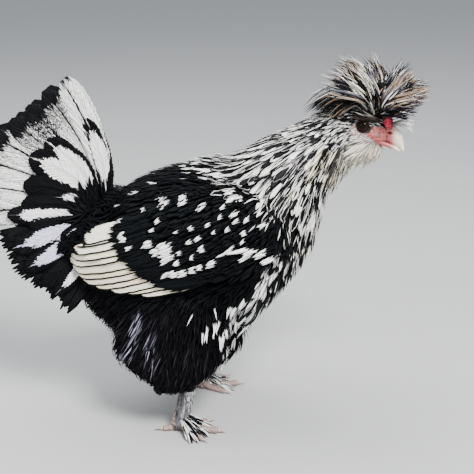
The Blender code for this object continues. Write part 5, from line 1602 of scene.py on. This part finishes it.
def make_wing(ground, cover, side, finish, bay_finish):
    """A folded wing: cream bay of flights, black band, and the bow with its white marks."""
    make_wing_bay(ground, side, bay_finish)
    out = SIDES[side]
    coat = Coat(ground, 35 + out)
    add_wing_band(coat, wing_sheet(out))
    add_wing_bow(coat, cover, out)
    add_wing_marks(coat, wing_sheet(out))
    return coat.piece("wing_bow_" + side, finish, "black_feather", "wing_" + side)


def picture_lines(sheet, rows, lifts, steps):
    """Middle lines of feathers on a sheet, from roots, middles and tips in the picture."""
    near = tail_sheet(-1)
    roots = np.array([on_sheet(near, *row[0]) for row in rows])
    middles = np.array([on_sheet(near, *row[1]) for row in rows])
    tips = np.array([on_sheet(near, *row[2]) for row in rows])
    along = unit(tips - roots)
    side = np.stack([-along[:, 1], along[:, 0]], axis=1)
    bow = np.sum((middles - (roots + tips) / 2) * side, axis=1)
    return sheet_lines(sheet, roots, tips, bow, lifts, steps)


def make_tail(ground, finish, covert_finish):
    """The tented tail: white feathers with peppered black tips, and black coverts with white middles."""
    coat = Coat(ground, 41)
    draw = coat.draw
    covert = Coat(ground, 42)
    for out in (-1, 1):
        sheet = tail_sheet(out)
        count = len(TAIL_FANS)
        lifts = np.linspace(2.0, -1.4, count)
        mids, normals = picture_lines(sheet, TAIL_FANS, lifts, 18)
        marks = np.array([row[3:] for row in TAIL_FANS])
        tones = {"ground": WHITE, "tip": marks[:, 1], "pepper": marks[:, 2], "stripe": 0.07}
        coat.add(mids - normals * 0.2, normals, marks[:, 0] * 0.97, 0.25, TAIL_VANE, tones, 13,
                 cup=0.03, ragged=0.03)
        coat.add_barbed(mids, normals, marks[:, 0], TAIL_VANE, tones, 46, slant=0.34, split=0.5)
        under = np.array([(*row[0], *row[1], *row[2], row[3]) for row in UNDER_TAIL[:8]])
        many = 84
        under = smooth_rows(np.column_stack([np.arange(8.0), under]), np.linspace(0, 7, many))
        under[:, 2:6] += draw.normal(0, 2.5, (many, 4))
        rows = [((a, b), (c, d), (e, f), draw.uniform(0.26, 0.42) * half) for a, b, c, d, e, f, half in under]
        rows += [(*row[:3], row[3] * 0.8) for row in UNDER_TAIL[8:]]
        lifts = np.linspace(0.2, 1.8, len(rows)) + draw.uniform(-0.3, 0.3, len(rows))
        mids, normals = picture_lines(sheet, rows, lifts, 10)
        covert.add(mids, normals, np.array([row[3] for row in rows]), 0.15, TAIL_VANE,
                   DARK, 5, cup=0.03, ragged=0.14)
        count = len(TAIL_COVERTS)
        lifts = np.linspace(2.4, 5.0, count)
        mids, normals = picture_lines(sheet, TAIL_COVERTS, lifts, 14)
        marks = np.array([row[3:] for row in TAIL_COVERTS])
        tones = {"ground": BLACK, "ink": blend_to(WHITE, LAVENDER, marks[:, 2]), "stripe": marks[:, 1]}
        covert.add(mids - normals * 0.2, normals, marks[:, 0] * 0.95, 0.22, FLIGHT, tones, 11,
                   cup=0.04, ragged=0.05)
        covert.add_barbed(mids, normals, marks[:, 0], FLIGHT, tones, 40, slant=0.26, split=0.5)
        many = 150
        turn = np.radians(draw.uniform(92.0, 250.0, many))
        roots = np.array((-128.0, 203.0)) + draw.normal(0, 5.0, (many, 2))
        reach = draw.uniform(18.0, 36.0, many)[:, None]
        tips = roots + np.stack([np.cos(turn), np.sin(turn)], axis=1) * reach
        lifts = draw.uniform(3.0, 6.0, many)
        mids, normals = sheet_lines(sheet, roots, tips, np.full(many, 1.5), lifts, 8)
        covert.add(mids, normals, draw.uniform(1.3, 2.3, many), 0.14, BODY, DARK,
                   cup=0.03, roll=draw.normal(0, 0.1, many), ragged=0.18)
    coat.piece("tail_feathers", finish, "hackle_feather", "tail")
    covert.piece("tail_coverts", covert_finish, "black_feather")


# Bare parts


def make_bill(finish):
    """Upper and lower bill, horn coloured, redder at the root."""
    for node in ("bill_upper", "bill_lower"):
        grow = 0.0 if node == "bill_upper" else 0.3
        piece = remeshed(node_copy(node + "_horn", (node,)), 0.42, 4, grow=grow)
        head = to_head(vertex_array(piece))
        if node == "bill_lower":
            head[:, 2] += 1.5 * ease(head[:, 0], 18.0, 27.0)
            set_vertices(piece, from_head(head))
        tone = blend_to(BILL_ROOT, BILL_TIP, ease(head[:, 0] + 0.2 * head[:, 2], 33.0, 40.0))
        if node == "bill_lower":
            rim = ease(head[:, 2], -8.5, -7.0) * ease(head[:, 0], 36.0, 28.0)
            tone = blend_to(tone, BILL_RIM, rim)
        pit = np.linalg.norm((head - np.array((33.0, 0, 1.0))) / np.array((3.2, 100, 1.6)), axis=1)
        tone = blend_to(tone, (0.26, 0.10, 0.06), ease(pit, 1.0, 0.6) * (node == "bill_upper"))
        paint(piece, "tone", tone)
        finish_piece(piece, finish, "bill_horn", node)


def make_comb(finish):
    """Two small fleshy horns, bumpy and crimson."""
    piece = remeshed(node_copy("comb_horns", ("comb",)), 0.4, 5, grow=0.9)
    head = to_head(vertex_array(piece))
    set_vertices(piece, from_head((head - COMB_ROOT) * np.array((1.25, 1.15, 1.1)) + COMB_ROOT))
    points = vertex_array(piece)
    bumps = np.sin(points[:, 0] * 2.4) * np.sin(points[:, 2] * 2.1) * np.sin(points[:, 1] * 2.7)
    set_vertices(piece, points + normal_array(piece) * (bumps * 0.25)[:, None])
    paint(piece, "tone", np.tile((0.62, 0.05, 0.09), (len(points), 1)))
    return finish_piece(piece, finish, "comb_flesh", "comb")


def make_eye(side, finish, lid_finish):
    """A glossy eyeball and the ring of its lids."""
    out = SIDES[side]
    deselect_all()
    bpy.ops.mesh.primitive_uv_sphere_add(segments=48, ring_count=32, radius=1.0)
    ball = bpy.context.object
    ball.name = "eyeball_" + side
    points = np.array([vert.co[:] for vert in ball.data.vertices])
    ring = np.hypot(points[:, 0], points[:, 2])
    ring = np.where(points[:, 1] * out > 0, ring, 1.0)
    set_vertices(ball, from_head(points * EYE_RADIUS + np.array(EYE_PLACE) * (1, out, 1)))
    made = ball.data.attributes.new("ring", "FLOAT", "POINT")
    made.data.foreach_set("value", ring)
    bpy.ops.object.shade_smooth()
    finish_piece(ball, finish, "eye_brown", "eye_" + side)
    deselect_all()
    bpy.ops.mesh.primitive_torus_add(major_segments=64, minor_segments=14,
                                     major_radius=1.0, minor_radius=0.09)
    lid = bpy.context.object
    lid.name = "eyelids_" + side
    points = np.array([vert.co[:] for vert in lid.data.vertices])
    turn = np.arctan2(points[:, 1], points[:, 0])
    radial = np.hypot(points[:, 0], points[:, 1]) - 1.0
    opening = LID_OPENING * (1 - 0.10 * np.abs(np.sin(turn)) ** 1.5)
    across = opening + radial * LID_OPENING * (1 + 0.5 * np.sin(turn))
    high = np.sqrt(np.maximum(0.0, (EYE_RADIUS + 0.25) ** 2 - opening**2)) + points[:, 2] * LID_OPENING
    crease = 1 + 0.04 * np.sin(turn * 22)
    placed = np.stack([across * np.cos(turn) * crease, out * high, across * np.sin(turn) * crease], axis=1)
    set_vertices(lid, from_head(placed + np.array((EYE_PLACE[0], EYE_PLACE[1] * out, EYE_PLACE[2]))))
    mesh = bmesh.new()
    mesh.from_mesh(lid.data)
    bmesh.ops.recalc_face_normals(mesh, faces=mesh.faces[:])
    mesh.to_mesh(lid.data)
    mesh.free()
    bpy.ops.object.shade_smooth()
    paint(lid, "tone", np.tile((0.016, 0.011, 0.009), (len(points), 1)))
    finish_piece(lid, lid_finish, "black_feather")


def add_shank(leg, side):
    """Joins a plain round shank to the foot, in place of the one with feathers on it."""
    rings = 14
    foot = np.array((FOOT_X[side], FOOT_Y * SIDES[side], 0.0))
    deselect_all()
    bpy.ops.mesh.primitive_cylinder_add(vertices=24, radius=1.0, depth=1.0)
    tube = bpy.context.object
    points = np.array([vert.co[:] for vert in tube.data.vertices])
    pick(tube)
    bpy.ops.object.mode_set(mode="EDIT")
    bpy.ops.mesh.select_all(action="SELECT")
    bpy.ops.mesh.subdivide(number_cuts=rings)
    bpy.ops.object.mode_set(mode="OBJECT")
    points = np.array([vert.co[:] for vert in tube.data.vertices])
    high = 7.0 + (points[:, 2] + 0.5) * (THIGH_LOW[side] + 8.0)
    share = np.clip((high - 7.0) / (THIGH_LOW[side] + 8.0), 0, 1)
    half = 5.3 * (1 + 0.35 * (2 * share - 1) ** 4)
    placed = np.stack([foot[0] + SHANK_LEAN * (high - ANKLE_HEIGHT) / 40.0 + points[:, 0] * half * 1.1,
                       foot[1] + points[:, 1] * half * 0.9, high], axis=1)
    set_vertices(tube, placed)
    deselect_all()
    tube.select_set(True)
    leg.select_set(True)
    bpy.context.view_layer.objects.active = leg
    bpy.ops.object.join()
    return leg


def raise_plates(leg, side):
    """Raises the plates of scale on toes and shank, and colours them and the grooves between them."""
    out = SIDES[side]
    points, normals = vertex_array(leg), normal_array(leg)
    foot = np.array((FOOT_X[side], FOOT_Y * out, 0.0))
    groove = np.zeros(len(points))
    for _, bearing, length in TOES:
        turn = math.radians(bearing + FOOT_TURN[side]) * out
        ahead = np.array((math.cos(turn), math.sin(turn), 0.0))
        along = (points - foot) @ ahead
        off = np.linalg.norm((points - foot) - along[:, None] * ahead - (0, 0, 4.0), axis=1)
        on = (along > 5.0) & (along < length + 1) & (off < 6.5)
        plate = np.abs(np.sin(along / TOE_PLATE * math.pi)) ** 0.35
        raised = 0.45 * (plate - 0.5) * ease(normals[:, 2], -0.3, 0.3)
        groove = np.where(on, np.maximum(groove, raised), groove)
    high = points[:, 2] > ANKLE_HEIGHT - 2
    plate = np.abs(np.sin((points[:, 2] + 2.0 * np.abs(normals[:, 1])) / SHANK_PLATE * math.pi)) ** 0.35
    groove = np.where(high, 0.30 * (plate - 0.5), groove)
    points = points + normals * groove[:, None]
    points[:, 2] = np.maximum(points[:, 2], 0.0)
    set_vertices(leg, points)
    tone = blend_to(SCALE_DARK, SCALE_BROWN, ease(groove, -0.1, 0.2))
    tone = blend_to(tone, SCALE_GREY, ease(points[:, 2], 12.0, 24.0) * 0.7)
    paint(leg, "tone", tone)


def make_claws(side, finish):
    """The four claws of one foot."""
    for name, _, _ in TOES:
        node = f"claw_{side}_{name}"
        claw = remeshed(node_copy(node + "_horn", (node,)), 0.28, 4)
        paint(claw, "tone", np.tile((0.46, 0.38, 0.33), (len(claw.data.vertices), 1)))
        finish_piece(claw, finish, "claw_horn", node)


def add_shank_feathers(coat, side):
    """Short mottled feathers that hang down the front and outside of the shank."""
    out, draw, count = SIDES[side], coat.draw, 900
    foot = np.array((FOOT_X[side], FOOT_Y * out, 0.0))
    high = draw.uniform(10.0, THIGH_LOW[side] + 16.0, count)
    turn = np.radians(draw.uniform(-80.0, 240.0, count)) * out
    away = np.stack([np.cos(turn), np.sin(turn), np.zeros(count)], axis=1)
    root = foot + np.stack([SHANK_LEAN * (high - ANKLE_HEIGHT) / 40.0, 0 * high, high], axis=1) + away * 5.2
    length = draw.uniform(6.0, 13.0, count)
    fall = np.minimum(length, high - 2.5)
    tip = root + away * (length * 0.16)[:, None] + np.stack([0 * fall, 0 * fall, -fall], axis=1)
    share = np.linspace(0, 1, 5)[None, :, None]
    mids = root[:, None] + (tip - root)[:, None] * share + away[:, None] * 0.9 * np.sin(math.pi * share)
    normals = np.repeat(away[:, None], 5, axis=1)
    chance = draw.uniform(0, 1, count)
    colour = blend_to((0.58, 0.57, 0.60), (0.16, 0.15, 0.16), ease(chance, 0.25, 0.75))
    dark = np.maximum(ease(np.cos(turn), 0.3, -0.4) * 0.8, ease(chance, 0.80, 0.90))
    colour = blend_to(colour, (0.03, 0.03, 0.035), dark)
    coat.add(mids, normals, draw.uniform(0.6, 1.3, count), 0.15, HACKLE,
             {"ground": colour}, roll=draw.normal(0, 0.3, count), ragged=0.1)


def add_toe_feathers(coat, side):
    """Black and white feathers over the middle and outer toes."""
    out, draw, count = SIDES[side], coat.draw, 190
    foot = np.array((FOOT_X[side], FOOT_Y * out, 0.0))
    bearing = draw.uniform(-28.0, 62.0, count)
    turn = np.radians(bearing + FOOT_TURN[side]) * out
    ahead = np.stack([np.cos(turn), np.sin(turn), 0 * turn], axis=1)
    start = draw.uniform(3.0, 20.0, count)
    root = foot + ahead * start[:, None]
    root[:, 2] = 6.0 + 11.0 * ease(start, 14.0, 3.0) * draw.uniform(0.3, 1.0, count)
    way = unit(ahead + (0, 0, -0.22) + draw.normal(0, 0.07, (count, 3)))
    up = np.tile((0.0, 0.0, 1.0), (count, 1))
    lengths = draw.uniform(10.0, 18.0, count)
    mids, laid = stand_out(root, way, up, lengths, 6, np.full(count, 0.06), 0.22, 0.08)
    mids[..., 2] = np.maximum(mids[..., 2], 0.9)
    dark = draw.uniform(0, 1, count)[:, None] < 0.5
    coat.add(mids, laid, draw.uniform(0.7, 1.4, count), 0.15, HACKLE,
             {"ground": np.where(dark, BLACK, WHITE)}, roll=draw.normal(0, 0.3, count))


def make_leg(ground, side, scale_finish, claw_finish, feather_finish):
    """Shank and toes with plates of scale, claws, and the feathers on them."""
    leg = remeshed(add_shank(node_copy("leg_" + side, ("foot_" + side,)), side), 0.75, 4, grow=0.2)
    raise_plates(leg, side)
    finish_piece(leg, scale_finish, "foot_scale", "shank_" + side, "foot_" + side)
    make_claws(side, claw_finish)
    coat = Coat(ground, 51 + SIDES[side])
    add_shank_feathers(coat, side)
    add_toe_feathers(coat, side)
    coat.piece("leg_feathers_" + side, feather_finish, "hackle_feather")


# Stage


def make_stage():
    """A plain pale floor, soft light and the camera."""
    deselect_all()
    bpy.ops.mesh.primitive_plane_add(size=80.0, location=(0, 0, 0))
    floor = bpy.context.object
    floor.name = "floor"
    made = bpy.data.materials.new("floor_paint")
    made.use_nodes = True
    shader = made.node_tree.nodes["Principled BSDF"]
    shader.inputs["Base Color"].default_value = (0.42, 0.42, 0.41, 1.0)
    shader.inputs["Roughness"].default_value = 0.9
    floor.data.materials.append(made)
    world = bpy.data.worlds.new("studio")
    world.use_nodes = True
    world.node_tree.nodes["Background"].inputs[0].default_value = (0.84, 0.90, 1.0, 1.0)
    world.node_tree.nodes["Background"].inputs[1].default_value = 0.80
    bpy.context.scene.world = world
    for name, place, size, power in (("key", (0.7, -1.3, 1.8), 0.7, 118.0),
                                     ("top", (-0.6, 0.3, 2.0), 1.4, 44.0),
                                     ("fill", (-1.6, -1.2, 0.7), 1.4, 11.0)):
        light = bpy.data.lights.new(name, "AREA")
        light.shape = "SQUARE"
        light.size = size
        light.energy = power
        lamp = bpy.data.objects.new(name, light)
        bpy.context.scene.collection.objects.link(lamp)
        lamp.location = place
        aim = Vector((0.0, 0.0, 0.18)) - Vector(place)
        lamp.rotation_euler = aim.to_track_quat("-Z", "Y").to_euler()
    eye = bpy.data.cameras.new("camera")
    eye.sensor_width = SENSOR
    eye.lens = CAMERA_LENS
    eye.clip_start = 0.05
    camera = bpy.data.objects.new("camera", eye)
    bpy.context.scene.collection.objects.link(camera)
    place, _ = sight(PICTURE_MIDDLE, PICTURE_MIDDLE)
    camera.location = (place + SHIFT) * MM
    camera.rotation_euler = (math.pi / 2 - CAMERA_TILT, 0, 0)
    bpy.context.scene.camera = camera


def main():
    """Makes every piece."""
    markings = vane_group()
    hackle = feather_material("hackle_vane", markings, (0.25, 1.12), specular=0.07, root=0.6, streaks=0.25)
    glossy = feather_material("black_vane", markings, roughness=0.55, specular=0.06, streaks=0.2, root=0.8,
                              gloss=(0.80, 0.95, 1.0), bump=0.12)
    down = feather_material("down_vane", markings, roughness=0.8, specular=0.04, streaks=0.3, root=0.7)
    white = feather_material("white_vane", markings, tip_bow=-0.05, specular=0.10, root=0.12, streaks=0.50)
    bay = feather_material("bay_vane", markings, tip_bow=0.08, specular=0.12, root=0.8,
                           streaks=0.15, edge_shadow=True)
    covert = feather_material("covert_vane", markings, (0.25, 0.86), roughness=0.55, specular=0.07, root=0.8,
                              streaks=0.4)
    crest = feather_material("crest_vane", markings, (0.0, 0.9), specular=0.08, root=0.40, streaks=0.35)
    soft = feather_material("beard_vane", markings, (0.2, 0.9), roughness=0.6, specular=0.08, root=0.6,
                            streaks=0.3)
    flesh, scale = skin_material(), horn_material("leg_scale", 0.55, 500.0)
    horn = horn_material("bill_horn", 0.38, 700.0)
    make_stage()
    skin = make_skin(flesh)
    ground, cover = Ground(skin), make_cover(skin)
    make_hackle(ground, cover, hackle)
    make_body(ground, cover, glossy)
    make_fluff(ground, down)
    make_crest(ground, crest)
    make_face(ground, hackle)
    make_beard(ground, soft)
    make_tail(ground, white, covert)
    make_bill(horn)
    make_comb(flesh)
    eye = eye_material()
    for side in ("right", "left"):
        make_wing(ground, cover, side, glossy, bay)
        make_eye(side, eye, flesh)
        make_leg(ground, side, scale, horn, hackle)


main()
